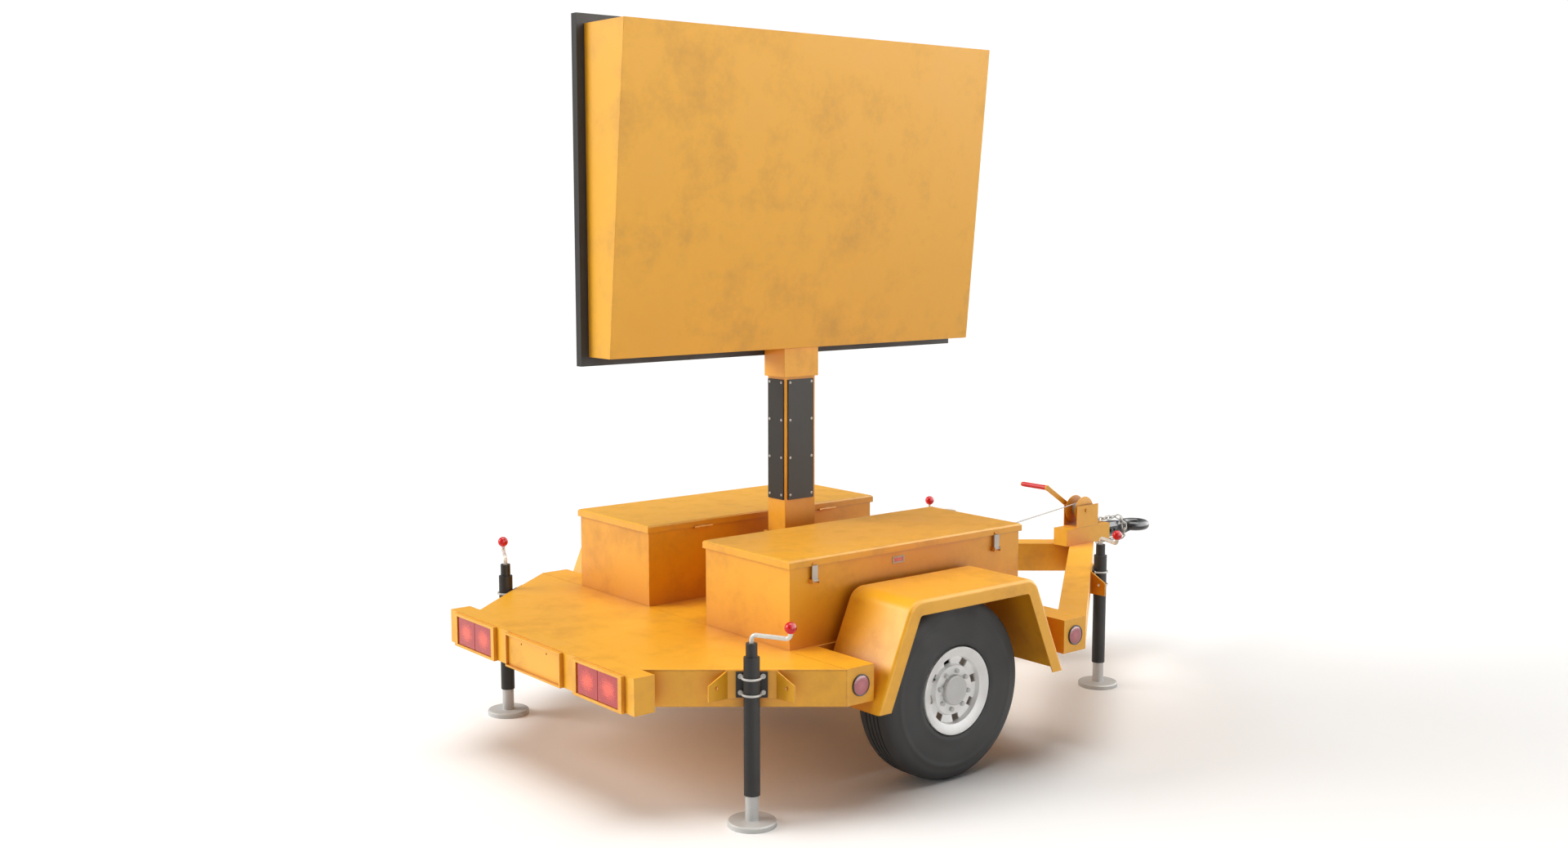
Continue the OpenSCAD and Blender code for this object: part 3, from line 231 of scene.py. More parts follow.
def enamel_finish(name, colour, stain_colour, stain, stain_size, edge_colour, edge):
    """Satin enamel with clouds of staining, tinted edges and painted shade darkening the corners."""
    made, tree, shader, place = finish(name, colour, 0.42, Coat_Weight=0.35, Coat_Roughness=0.36)
    clouds = add(tree, "ShaderNodeTexNoise", {"Scale": feature(stain_size), "Detail": 8, "Roughness": 0.66},
                 {"Vector": place})
    patches = add(tree, "ShaderNodeMapRange", {"From Min": 0.44, "From Max": 0.74, "To Max": stain},
                  {"Value": clouds.outputs["Fac"]}, interpolation_type="SMOOTHSTEP")
    stained = add(tree, "ShaderNodeMix", {"A": linear(colour), "B": linear(stain_colour)},
                  {"Factor": patches.outputs["Result"]}, data_type="RGBA")
    rounded = add(tree, "ShaderNodeBevel", {"Radius": EDGE_WEAR}, samples=4)
    true_normal = add(tree, "ShaderNodeNewGeometry")
    turned = add(tree, "ShaderNodeVectorMath", None, {0: rounded.outputs["Normal"],
                 1: true_normal.outputs["True Normal"]}, operation="DOT_PRODUCT")
    grime = add(tree, "ShaderNodeTexNoise", {"Scale": feature(22), "Detail": 6, "Roughness": 0.7},
                {"Vector": place})
    edge_mask = add(tree, "ShaderNodeMapRange", {"From Min": 0.995, "From Max": 0.80, "To Max": edge},
                    {"Value": turned.outputs["Value"]})
    broken = add(tree, "ShaderNodeMapRange", {"From Min": 0.38, "From Max": 0.62, "To Min": 0.25},
                 {"Value": grime.outputs["Fac"]})
    edge_share = add(tree, "ShaderNodeMath", None, {0: edge_mask.outputs["Result"],
                     1: broken.outputs["Result"]}, operation="MULTIPLY")
    edged = add(tree, "ShaderNodeMix", {"B": linear(edge_colour)}, {"Factor": edge_share.outputs["Value"],
                "A": stained.outputs["Result"]}, data_type="RGBA")
    # Painted shade: ambient occlusion over the reach darkens corners, recesses and faces near other parts
    # towards the deep orange.
    shut_in = add(tree, "ShaderNodeAmbientOcclusion", {"Distance": PAINTED_SHADE_REACH}, samples=6)
    painted_corner_shade = add(tree, "ShaderNodeMapRange", {"From Min": 0.86, "From Max": 0.25, "To Max": 0.72},
               {"Value": shut_in.outputs["AO"]})
    corner_shaded = add(tree, "ShaderNodeMix", {"B": linear(PAINTED_SHADE_ORANGE)}, {"Factor": painted_corner_shade.outputs["Result"],
                "A": edged.outputs["Result"]}, data_type="RGBA")
    tree.links.new(corner_shaded.outputs["Result"], shader.inputs["Base Color"])
    shine = add(tree, "ShaderNodeMapRange", {"From Min": 0.35, "From Max": 0.7, "To Min": 0.34,
                "To Max": 0.52}, {"Value": clouds.outputs["Fac"]})
    tree.links.new(shine.outputs["Result"], shader.inputs["Roughness"])
    peel = add(tree, "ShaderNodeTexNoise", {"Scale": feature(3), "Detail": 3, "Roughness": 0.5},
               {"Vector": place})
    relief = add(tree, "ShaderNodeBump", {"Strength": 0.08, "Distance": 0.0004},
                 {"Height": peel.outputs["Fac"]})
    tree.links.new(relief.outputs["Normal"], shader.inputs["Normal"])
    return made


enamel = enamel_finish("sprayed_yellow_enamel", YELLOW, "C07E1C", 0.5, 220, "B87018", 0.6)
sign_enamel = enamel_finish("weathered_sign_enamel", YELLOW, "BC8530", 0.5, 260, "C07A18", 0.5)
lid_enamel = enamel_finish("lid_enamel", YELLOW, "C48A34", 0.5, 120, "A87434", 0.85)
print("three enamels,", len(enamel.node_tree.nodes), "nodes each")

# %% [markdown]
# ### Powder coat, rubber, zinc and the rest
# The dark parts are baked powder coat, a little rough with a very fine grain. The jack legs and feet are
# dull hot-dipped zinc, the cranks bright plated rod, the wheels silver wheel paint with a fine metallic
# speckle. Tyre rubber is dark grey rather than black, because dust greys it.

# %% Powder coat, metals and rubber
FINE_SHARE = 0.35


def grained(name, colour, roughness, grain, depth, shade, metallic=0.0, **sockets):
    """A finish with fine grain in its height and a soft drift in its shade."""
    made, tree, shader, place = finish(name, colour, roughness, metallic, **sockets)
    fine = add(tree, "ShaderNodeTexNoise", {"Scale": feature(grain), "Detail": 4, "Roughness": 0.6},
               {"Vector": place})
    drift = add(tree, "ShaderNodeTexNoise", {"Scale": feature(90), "Detail": 5, "Roughness": 0.6},
                {"Vector": place})
    mixed = add(tree, "ShaderNodeMix", {"Factor": FINE_SHARE},
                {"A": drift.outputs["Fac"], "B": fine.outputs["Fac"]}, data_type="FLOAT")
    tint = add(tree, "ShaderNodeMapRange", {"From Min": 0.35, "From Max": 0.65, "To Min": 1 - shade,
               "To Max": 1 + shade}, {"Value": mixed.outputs["Result"]})
    toned = add(tree, "ShaderNodeVectorMath", {0: linear(colour)[:3]}, operation="SCALE")
    tree.links.new(tint.outputs["Result"], toned.inputs["Scale"])
    tree.links.new(toned.outputs["Vector"], shader.inputs["Base Color"])
    wear = add(tree, "ShaderNodeMapRange", {"From Min": 0.35, "From Max": 0.65,
               "To Min": max(roughness - 0.08, 0.05), "To Max": min(roughness + 0.08, 1)},
               {"Value": drift.outputs["Fac"]})
    tree.links.new(wear.outputs["Result"], shader.inputs["Roughness"])
    relief = add(tree, "ShaderNodeBump", {"Strength": 0.25, "Distance": depth},
                 {"Height": fine.outputs["Fac"]})
    tree.links.new(relief.outputs["Normal"], shader.inputs["Normal"])
    return made


powder_coat = grained("black_powder_coat", "302F2E", 0.46, 1.6, 0.0003, 0.10, Specular_IOR_Level=0.3)
gloss_black = grained("gloss_black_enamel", "26272A", 0.24, 5, 0.0003, 0.12, Coat_Weight=0.4)
wear_plastic = grained("dark_wear_plastic", "32302D", 0.5, 2.5, 0.0003, 0.16, Specular_IOR_Level=0.3)
tyre_rubber = grained("dusty_tyre_rubber", "3D3D3D", 0.72, 2.0, 0.0005, 0.12, Specular_IOR_Level=0.3)
dull_zinc = grained("hot_dipped_zinc", "C8C8C6", 0.5, 6, 0.0003, 0.06, 0.1)
bright_rod = grained("plated_rod", "DEDAD2", 0.3, 8, 0.0001, 0.04, 0.2)
bolt_zinc = grained("zinc_plated_bolt", "BDBBB6", 0.42, 3, 0.0002, 0.08, 0.15)
wheel_silver = grained("silver_wheel_paint", "EDEDEC", 0.45, 1.4, 0.0003, 0.07, 0.1)
marker_frame = grained("light_marker_frame", "C9C4BC", 0.45, 3, 0.0002, 0.05)
black_plastic = grained("black_battery_plastic", "262626", 0.5, 1.5, 0.0003, 0.08)
print("ten grained finishes")

# %% [markdown]
# ### Red and amber plastics
# The knobs are solid glossy phenolic. Lens plastic is clear colour over a bright reflector. Its colour is
# painted lighter at its middle, where the bulb is, and deeper to the rim: a painted reflection, laid as a
# radial ramp in the piece's UV map instead of real refraction, which would only add noise. Facet cells add
# painted glints.

# %% Knob plastic
knob_red = grained("red_phenolic", "D8121A", 0.22, 12, 0.0001, 0.05, Coat_Weight=0.2, Coat_Roughness=0.06,
                   Specular_IOR_Level=0.35)

# %% Lens plastic


def lens_finish(name, middle, rim, cell, relief_strength):
    """Clear coloured lens over a reflector, with a painted reflection: bright in the middle of its UV square,
    deep at its rim.
    """
    made, tree, shader, place = finish(name, rim, 0.16, Coat_Weight=0.7, Coat_Roughness=0.05)
    chart = add(tree, "ShaderNodeTexCoord").outputs["UV"]
    centred = add(tree, "ShaderNodeMapping", {"Location": (-0.5, -0.5, 0)}, {"Vector": chart})
    away = add(tree, "ShaderNodeVectorMath", None, {0: centred.outputs["Vector"]}, operation="LENGTH")
    facets = add(tree, "ShaderNodeTexVoronoi", {"Scale": feature(cell), "Randomness": 0.35},
                 {"Vector": place})
    # Painted glints: spots near each facet cell's middle are pushed towards the bright middle colour.
    painted_glint = add(tree, "ShaderNodeMapRange", {"From Min": 0.0, "From Max": 0.6, "To Min": 0.14,
                "To Max": -0.10}, {"Value": facets.outputs["Distance"]})
    reach = add(tree, "ShaderNodeMath", None, {0: away.outputs["Value"], 1: painted_glint.outputs["Result"]},
                operation="SUBTRACT")
    # Painted reflection: the colour runs from the bright middle colour at the UV centre to the rim colour at
    # the edge.
    share = add(tree, "ShaderNodeMapRange", {"From Min": 0.08, "From Max": 0.46},
                {"Value": reach.outputs["Value"]}, interpolation_type="SMOOTHSTEP")
    painted_reflection_tone = add(tree, "ShaderNodeMix", {"A": linear(middle), "B": linear(rim)},
               {"Factor": share.outputs["Result"]}, data_type="RGBA")
    tree.links.new(painted_reflection_tone.outputs["Result"], shader.inputs["Base Color"])
    bump = add(tree, "ShaderNodeBump", {"Strength": relief_strength, "Distance": 0.0008},
               {"Height": facets.outputs["Distance"]})
    tree.links.new(bump.outputs["Normal"], shader.inputs["Normal"])
    return made


# Every lens finish carries the painted reflection and painted glints of lens_finish.
tail_red = lens_finish("ribbed_red_lens", "FF5638", "B40E12", 9, 0.3)
reflector_red = lens_finish("prismatic_red_reflector", "D2747E", "B85C66", 5, 0.6)
marker_red = lens_finish("side_marker_lens", "E0444C", "C02A32", 4, 0.5)
amber = lens_finish("amber_lamp_lens", "FFC14A", "D97A08", 7, 0.7)

# %% [markdown]
# ### Wire rope
# The hoist cable is bright galvanised rope. Its strands are modelled, so the finish only adds a dull
# metal shine.

# %% Rope steel
rope_steel = grained("galvanised_rope", "A9A7A2", 0.45, 2, 0.0001, 0.1, 0.3)

# %% [markdown]
# ### Finishes for the frame's own parts
# Each frame part names a material slot, so one table dresses every part that stays as it is.

# %% Frame finishes
LOOK = {"yellow_paint": enamel, "black_paint": powder_coat, "zinc_steel": dull_zinc,
        "wheel_paint": wheel_silver, "tyre_rubber": tyre_rubber, "red_plastic": knob_red,
        "red_lens": reflector_red, "amber_lens": amber, "black_plastic": black_plastic,
        "wear_plastic": wear_plastic}
for part in frame["record"]["subparts"]:
    nodes[part["node"]].data.materials.clear()
    nodes[part["node"]].data.materials.append(LOOK[part["material_slot"]])

# %% [markdown]
# ## Pieces from the frame
# Folded sheet and welded tube never end in a knife edge. Each steel part is a copy of its frame part with
# its flat faces joined up again and its sharp edges rounded over by a bevel of a real width: about the
# metal's outside bend radius. The copy rides where the part did, and the part itself is hidden.

# %% Finishing helpers
CREASE = 32
RIDES = {node: body for body, group in frame["record"]["behaviour"]["bodies"].items() for node in group}


def creased(mesh):
    """Smooth shading everywhere but over edges that turn by more than the crease angle."""
    work = bmesh.new()
    work.from_mesh(mesh)
    for edge in work.edges:
        edge.smooth = len(edge.link_faces) == 2 and edge.calc_face_angle(0) < math.radians(CREASE)
    work.to_mesh(mesh)
    work.free()
    return mesh


def finish_piece(name, mesh, body, material, node_names=()):
    """Wraps a mesh as a piece at the origin, on its body, with its material and the nodes it stands for."""
    piece = bpy.data.objects.new(name, mesh)
    scene.collection.objects.link(piece)
    if not mesh.materials:
        mesh.materials.append(material)
    mesh.shade_smooth()
    if not mesh.has_custom_normals:
        creased(mesh)
    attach(piece, body)
    if node_names:
        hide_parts(*node_names)
    return piece


def bevelled(mesh, width, segments, angle):
    """The same mesh with edges sharper than the angle rounded to the width, and flat faces kept flat."""
    holder = bpy.data.objects.new("bevel_holder", mesh)
    scene.collection.objects.link(holder)
    bevel = holder.modifiers.new("edge", "BEVEL")
    bevel.width = width
    bevel.segments = segments
    bevel.limit_method = "ANGLE"
    bevel.angle_limit = math.radians(angle)
    bevel.use_clamp_overlap = True
    bevel.harden_normals = True
    mesh.shade_smooth()
    shaped = holder.evaluated_get(bpy.context.evaluated_depsgraph_get())
    result = bpy.data.meshes.new_from_object(shaped)
    bpy.data.objects.remove(holder)
    return result


def joined_faces(source):
    """A copy of a frame mesh with doubled points merged and each flat face, to a degree, in one piece."""
    work = bmesh.new()
    work.from_mesh(source)
    bmesh.ops.remove_doubles(work, verts=work.verts, dist=2e-6)
    bmesh.ops.dissolve_limit(work, angle_limit=math.radians(1), verts=work.verts, edges=work.edges)
    copy = bpy.data.meshes.new(source.name + "_joined")
    work.to_mesh(copy)
    work.free()
    if copy.has_custom_normals:
        copy.attributes.remove(copy.attributes["custom_normal"])
    return copy


def soft_edged(node, material, width, segments=2):
    """A frame part with rounded edges, standing in for it."""
    rounded = bevelled(joined_faces(nodes[node].data), width, segments, CREASE)
    rounded.materials.clear()
    return finish_piece(node + "_steel", rounded, RIDES[node], material, (node,))


# %% Welded steel
PLATE_EDGE = 0.0018
for node in ("rear_cross_member", "front_cross_member", "bumper", "side_rails", "tail_rails", "deck_plates",
             "tongue_beams", "coupler_tube", "box_left", "box_right", "outer_mast", "inner_mast",
             "sign_frame", "jack_brackets"):
    soft_edged(node, enamel, PLATE_EDGE)
soft_edged("sign_housing", sign_enamel, PLATE_EDGE)

# %% [markdown]
# Lids are pressed, so their edges are rounder. Castings and forgings are rounder again. Thin sheet only
# has its burr taken off. The display panel is one flat sheet with square edges, so it is only joined up.

# %% Lids, forgings, wheels and jacks
for node, material, width, segments in (
        ("lid_left", lid_enamel, 0.004, 3), ("lid_right", lid_enamel, 0.004, 3),
        ("winch_frame", enamel, 0.0012, 2), ("winch_lever", enamel, 0.0015, 2),
        ("lamp_housings", enamel, 0.0012, 2), ("jack_tubes", powder_coat, 0.0014, 2),
        ("torsion_axle", powder_coat, 0.002, 2), ("lunette", gloss_black, 0.0035, 3),
        ("battery_bank", black_plastic, 0.004, 3),
        ("wear_plates", wear_plastic, 0.0012, 2), ("safety_chain", bolt_zinc, 0.0008, 2),
        ("foot_sheave", dull_zinc, 0.0008, 2), ("top_sheave", dull_zinc, 0.0008, 2),
        ("jack_u_bolts", bolt_zinc, 0.0009, 2),
        ("wheel_left", wheel_silver, 0.0018, 2), ("wheel_right", wheel_silver, 0.0018, 2),
        ("hub_left", dull_zinc, 0.0012, 2), ("hub_right", dull_zinc, 0.0012, 2)):
    soft_edged(node, material, width, segments)
for side in ("left", "right"):
    for end in ("rear", "front"):
        soft_edged(f"jack_leg_{end}_{side}", dull_zinc, 0.0014)
        soft_edged(f"latch_{side}_{end}", bolt_zinc, 0.0006)
panel = joined_faces(nodes["display_panel"].data)
panel.materials.clear()
finish_piece("display_sheet", panel, RIDES["display_panel"], powder_coat, ("display_panel",))

# %% [markdown]
# ## Turned and swept shapes
# Two helpers make most of what is round. One spins a profile about Z, the other carries a section along a
# path without twisting it, unless it is told to twist, as a rope's strands do.

# %% Lathe and sweep


def lathe(profile, steps=64):
    """A mesh from (radius, height) points spun about Z; a radius of zero closes the shape on the axis."""
    points, rings, faces = [], [], []
    for radius, height in profile:
        if radius < 1e-7:
            rings.append([len(points)] * steps)
            points.append((0, 0, height))
        else:
            rings.append(list(range(len(points), len(points) + steps)))
            for k in range(steps):
                turn = 2 * math.pi * k / steps
                points.append((radius * math.cos(turn), radius * math.sin(turn), height))
    for low, high in zip(rings, rings[1:]):
        for k in range(steps):
            corners = [low[k], low[(k + 1) % steps], high[(k + 1) % steps], high[k]]
            face = list(dict.fromkeys(corners))
            if len(face) > 2:
                faces.append(face)
    return closed_mesh("lathed", points, faces)


def closed_mesh(name, points, faces):
    """A mesh from points and faces, with its normals turned outwards."""
    mesh = bpy.data.meshes.new(name)
    mesh.from_pydata([tuple(point) for point in points], [], faces)
    work = bmesh.new()
    work.from_mesh(mesh)
    bmesh.ops.remove_doubles(work, verts=work.verts, dist=1e-6)
    bmesh.ops.recalc_face_normals(work, faces=work.faces)
    work.to_mesh(mesh)
    work.free()
    return mesh


def sweep(path, radius, sides, lobes=0, lobe_depth=0.0, lay=0.0):
    """A round section carried along a path; lobes and a lay length in metres twist it into strands."""
    path = [Vector(point) for point in path]
    count = len(path)
    ways = []
    for k in range(count):
        ways.append((path[min(k + 1, count - 1)] - path[max(k - 1, 0)]).normalized())
    side = ways[0].orthogonal().normalized()
    points, gone = [], 0.0
    for k, (place, way) in enumerate(zip(path, ways)):
        if k:
            side = (side - way * side.dot(way)).normalized()
            gone += (place - path[k - 1]).length
        up = way.cross(side)
        for step in range(sides):
            turn = 2 * math.pi * step / sides
            reach = radius * (1 - lobe_depth * (0.5 - 0.5 * math.cos(lobes * turn))) if lobes else radius
            turned = turn + (2 * math.pi * gone / lay if lay else 0.0)
            points.append(place + side * (reach * math.cos(turned)) + up * (reach * math.sin(turned)))
    faces = []
    for k in range(count - 1):
        low, high = k * sides, (k + 1) * sides
        for step in range(sides):
            after = (step + 1) % sides
            faces.append((low + step, low + after, high + after, high + step))
    faces += [tuple(range(sides)), tuple(range((count - 1) * sides, count * sides))]
    return closed_mesh("swept", points, faces)


def rounded_path(corners, radius, steps=8):
    """The path through the corners with each inner corner turned on the radius."""
    corners = [Vector(corner) for corner in corners]
    path = [corners[0]]
    for before, corner, after in zip(corners, corners[1:], corners[2:]):
        back, ahead = (before - corner).normalized(), (after - corner).normalized()
        half = back.angle(ahead) / 2
        reach = radius / math.tan(half)
        centre = corner + (back + ahead).normalized() * (radius / math.sin(half))
        start = (corner + back * reach - centre).normalized()
        end = (corner + ahead * reach - centre).normalized()
        for k in range(steps + 1):
            path.append(centre + start.slerp(end, k / steps) * radius)
    return path + [corners[-1]]


def moved(mesh, *matrices):
    """The mesh after the matrices, the last one first, with its normals outwards again if they mirror it."""
    whole = Matrix.Identity(4)
    for matrix in matrices:
        whole = whole @ matrix
    mesh.transform(whole)
    if whole.determinant() < 0:
        mesh.flip_normals()
    return mesh


def joined(*meshes):
    """One mesh holding all of these."""
    work = bmesh.new()
    for mesh in meshes:
        work.from_mesh(mesh)
    result = bpy.data.meshes.new("joined")
    work.to_mesh(result)
    work.free()
    return result


def middle(node):
    """The centre of a frame part's box."""
    low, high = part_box(node)
    return (Vector(low) + Vector(high)) / 2


# %% [markdown]
# ## Jack cranks and knobs
# Each crank is one rod bent twice. The bends have a real inside radius of about one rod's width, and the
# bright rod runs up into a moulded ball knob with a small flat where the mould parts.

# %% Cranks and knobs
ROD, BALL, ROD_BEND, ROD_FOOT, COLLAR_AT = 0.008, 0.021, 0.018, 0.17, 0.5707
BELOW_BALL, INTO_BALL = 0.038, 0.006
COLLAR_PROFILE = [(0, 0), (0.016, 0), (0.016, 0.006), (0, 0.006)]
BALL_PROFILE = [(0.0, -0.0185), (0.0095, -0.0185), (0.0105, -0.0178)] + [
    (BALL * math.cos(a), BALL * math.sin(a)) for a in (math.radians(-57 + 147 * k / 22) for k in range(22))
] + [(0.0, BALL)]
for side in ("left", "right"):
    for end in ("rear", "front"):
        where = f"{end}_{side}"
        axis, ball = middle(f"jack_leg_{where}"), middle(f"jack_knob_{where}")
        arm = ball.z - BELOW_BALL
        bends = [(axis.x, axis.y, ROD_FOOT), (axis.x, axis.y, arm), (ball.x, ball.y, arm),
                 (ball.x, ball.y, ball.z - INTO_BALL)]
        rod = sweep(rounded_path(bends, ROD_BEND), ROD, 20)
        collar = moved(lathe(COLLAR_PROFILE, 32), Matrix.Translation((axis.x, axis.y, COLLAR_AT)))
        finish_piece(f"crank_rod_{where}", joined(rod, collar), RIDES[f"jack_crank_{where}"], bright_rod,
                     (f"jack_crank_{where}",))
        finish_piece(f"crank_ball_{where}", moved(lathe(BALL_PROFILE, 40), Matrix.Translation(ball)),
                     RIDES[f"jack_knob_{where}"], knob_red, (f"jack_knob_{where}",))

# %% [markdown]
# ## Tyres
# A trailer tyre's section: bead, a bulging side wall with two moulded rings, a rounded shoulder and a
# nearly flat tread with four rain grooves, 6 mm deep. The carcass is closed by an inner wall, because a
# tyre is a hollow thing and its bead sits on the rim.

# %% Tyre section
R, H = 0.34, 0.095
half = [(0.1575, H - 0.013), (0.166, H - 0.011), (0.171, H - 0.003), (0.180, H - 0.0012),
        (0.184, H - 0.0002), (0.190, H - 0.0012), (0.215, H - 0.0006), (0.238, H - 0.0002),
        (0.260, H - 0.0010), (0.272, H - 0.0020), (0.275, H - 0.0012), (0.283, H - 0.0022),
        (0.286, H - 0.0036), (0.300, H - 0.0062), (0.312, H - 0.0095), (0.322, H - 0.0145),
        (0.329, H - 0.0205), (0.334, H - 0.0275), (0.3370, H - 0.0345), (0.3388, H - 0.0425),
        (0.3396, H - 0.050)]
tread = []
for groove in (0.030, 0.010):
    tread += [(R, groove + 0.0045), (R - 0.0005, groove + 0.0038), (R - 0.006, groove + 0.0026),
              (R - 0.006, groove - 0.0026), (R - 0.0005, groove - 0.0038), (R, groove - 0.0045)]
outer = half + tread
profile = outer + [(r, -h) for r, h in reversed(outer)]
half_inner = [(0.1575, H - 0.034), (0.175, H - 0.028), (0.193, H - 0.014), (0.272, H - 0.016),
              (0.313, H - 0.034), (0.322, H - 0.060)]
inner = [(r, -h) for r, h in half_inner] + half_inner[::-1]
loop = profile + inner + profile[:1]
print(len(loop), "points in the tyre's section")

# %% Tyres and valves
VALVE_PROFILE = [(0, 0), (0.004, 0), (0.004, 0.022), (0.0046, 0.023), (0.0046, 0.031), (0.003, 0.033),
                 (0, 0.033)]
VALVE_OUT, VALVE_TURN, VALVE_IN = 0.110, math.radians(150), 0.052
for side in ("left", "right"):
    seat = Matrix.Translation(middle(f"tyre_{side}"))
    lean = Matrix.Rotation(math.radians(-90 if side == "left" else 90), 4, "X")
    finish_piece(f"tyre_carcass_{side}", moved(lathe(loop, 144), seat, lean), f"wheel_{side}", tyre_rubber,
                 (f"tyre_{side}",))
    valve_top = Matrix.Rotation(VALVE_TURN, 4, "Z") @ Matrix.Translation((VALVE_OUT, 0, H - VALVE_IN))
    stem = finish_piece(f"tyre_valve_{side}", moved(lathe(VALVE_PROFILE, 16), seat, lean, valve_top),
                        f"wheel_{side}", black_plastic)

# %% [markdown]
# ## Fenders
# One pressed U section follows a trapezoid path. Its outer edges are drawn over a 14 mm radius, which is
# what gives a pressed fender its soft highlight.

# %% Fender outline
EDGE, WIDE, SHEET, SKIRT = 0.014, 0.325, 0.004, 0.055
TURN, CENTRE, BEND, HEM_Z = math.radians(66.8748), (-0.264778, 0.664), 0.070, 0.357
FENDER_X, FENDER_Y, ROW_START = 0.005, 0.720, 0.511


def fender_line(inset):
    """The fender's side outline moved inwards: a leg, a bend, the flat top, and the same back down."""
    r = BEND - inset
    tx, tz = CENTRE[0] - r * math.sin(TURN), CENTRE[1] + r * math.cos(TURN)
    foot = tx - (tz - HEM_Z) / math.tan(TURN)
    half_line = [(foot + (tx - foot) * k / 3, HEM_Z + (tz - HEM_Z) * k / 3) for k in range(3)]
    for k in range(15):
        turned = TURN * (1 - k / 14)
        half_line.append((CENTRE[0] - r * math.sin(turned), CENTRE[1] + r * math.cos(turned)))
    return half_line + [(-x, z) for x, z in reversed(half_line)]


corner_turns = [math.radians(9 * k) for k in range(11)]
skin = [(SKIRT, 0.0), (SKIRT * 0.6, 0.0)]
skin += [(EDGE - EDGE * math.sin(a), EDGE - EDGE * math.cos(a)) for a in corner_turns]
skin += [(inset, WIDE - y) for inset, y in reversed(skin)]
middle_line = WIDE / 2
back = []
for inset, y in skin:
    toward = SHEET if y < middle_line else -SHEET
    deep = min(1.0, inset / EDGE) if inset < EDGE else 1.0
    back.append((inset + SHEET * (1 - deep), y + toward * deep) if inset < EDGE else (inset, y + toward))
print(len(skin), "points across the pressing")

# %% Fenders
for side, sign in (("left", 1), ("right", -1)):
    corners, faces = [], []
    section = skin + back[::-1]
    lines = [fender_line(inset) for inset, _ in section]
    for along in range(len(lines[0])):
        for (inset, y), line in zip(section, lines):
            corners.append((FENDER_X - ROW_START + line[along][0], sign * (FENDER_Y + y), line[along][1]))
    n, m = len(lines[0]), len(section)
    for along in range(n - 1):
        for k in range(m):
            a, b = along * m + k, along * m + (k + 1) % m
            faces.append((a, b, b + m, a + m))
    for base in (0, (n - 1) * m):
        for k in range(len(skin) - 1):
            faces.append((base + k, base + k + 1, base + m - 2 - k, base + m - 1 - k))
    finish_piece(f"fender_pressing_{side}", closed_mesh("fender", corners, faces), "frame", enamel,
                 (f"fender_{side}",))
print("fenders", round(fender_line(0)[-1][0] - fender_line(0)[0][0], 3), "m long")

# %% [markdown]
# ## Hoist rope
# Galvanised rope of 6 mm with six strands, laid up at about seven rope widths to the turn. It runs from
# the mast's shoe over the top sheave, down to the foot sheave and forward to the drum.

# %% Rope
ROPE, SHEAVE, STRANDS, ROPE_LAY = 0.003, 0.025, 6, 0.042
ROPE_CLIMB = math.radians(6.23809)
TOP_SHEAVE, FOOT_SHEAVE, SHOE, FREE_RUN = (117, 773), (167, 574), (92, 615.3), 1.598


def in_row(x, z):
    """A point on the middle plane from the trailer's own length and height in millimetres."""
    return Vector((x / 1000 - ROW_START, 0, z / 1000))


def round_sheave(centre, turns, rise):
    """Points on a sheave's rope circle, from its rear side over the top or, with a rise of -1, under."""
    return [centre + Vector((-SHEAVE * math.cos(a), 0, rise * SHEAVE * math.sin(a))) for a in turns]


up_the_mast = [in_row(SHOE[0], SHOE[1] + 3 * k) for k in range(52)]
over = round_sheave(in_row(*TOP_SHEAVE), [math.pi * k / 28 for k in range(29)], 1)
down = [in_row(TOP_SHEAVE[0] + SHEAVE * 1000, TOP_SHEAVE[1] - 3 * k) for k in range(1, 66)]
under = round_sheave(in_row(*FOOT_SHEAVE), [(math.pi / 2 + ROPE_CLIMB) * k / 15 for k in range(16)], -1)
tangent = Vector((math.cos(ROPE_CLIMB), 0, math.sin(ROPE_CLIMB)))
forward = [under[-1] + tangent * (FREE_RUN * k / 530) for k in range(1, 531)]
line = up_the_mast + over + down + under + forward
rope = sweep(line, ROPE, 18, lobes=STRANDS, lobe_depth=0.16, lay=ROPE_LAY)
FERRULE_PROFILE = [(0, 0), (0.0045, 0), (0.005, 0.0005), (0.005, 0.022), (0.0042, 0.024), (0, 0.024)]
ferrule = moved(lathe(FERRULE_PROFILE, 24), Matrix.Translation(in_row(*SHOE)))
finish_piece("hoist_rope", joined(rope, ferrule), RIDES["hoist_cable"], rope_steel, ("hoist_cable",))
print("rope", round(sum((b - a).length for a, b in zip(line, line[1:])), 3), "m along its middle")

# %% [markdown]
# ## Winch
# The drum's flanges are pressed discs with a rolled edge. The rope on the drum is one wound helix, and the
# hand grip is moulded with rings so a gloved hand holds it.

# %% Drum
DRUM_AT, WRAPS, WRAP_RADIUS, WRAP_WIDE = (1762, 690), 7.4, 0.0268, 0.045
drum_middle = in_row(*DRUM_AT)
lay_over = Matrix.Rotation(math.radians(-90), 4, "X")
flange = [(0, -0.048), (0.008, -0.048), (0.008, -0.031), (0.062, -0.031), (0.0642, -0.0304), (0.065, -0.029),
          (0.0642, -0.0276), (0.062, -0.027), (0.024, -0.027), (0.024, 0.027), (0.062, 0.027),
          (0.0642, 0.0276), (0.065, 0.029), (0.0642, 0.0304), (0.062, 0.031), (0.008, 0.031),
          (0.008, 0.066), (0, 0.066)]
finish_piece("winch_spool", moved(lathe(flange, 64), Matrix.Translation(drum_middle), lay_over), "winch_drum",
             enamel, ("winch_drum",))
wound = []
for k in range(301):
    a = 2 * math.pi * WRAPS * k / 300
    wound.append((WRAP_RADIUS * math.cos(a), WRAP_RADIUS * math.sin(a), WRAP_WIDE * (k / 300 - 0.5)))
wraps = sweep(wound, 0.0029, 14, lobes=STRANDS, lobe_depth=0.14, lay=ROPE_LAY)
coil = finish_piece("winch_coil", moved(wraps, Matrix.Translation(drum_middle), lay_over), "winch_drum",
                    rope_steel)
print(WRAPS, "wraps on the drum")

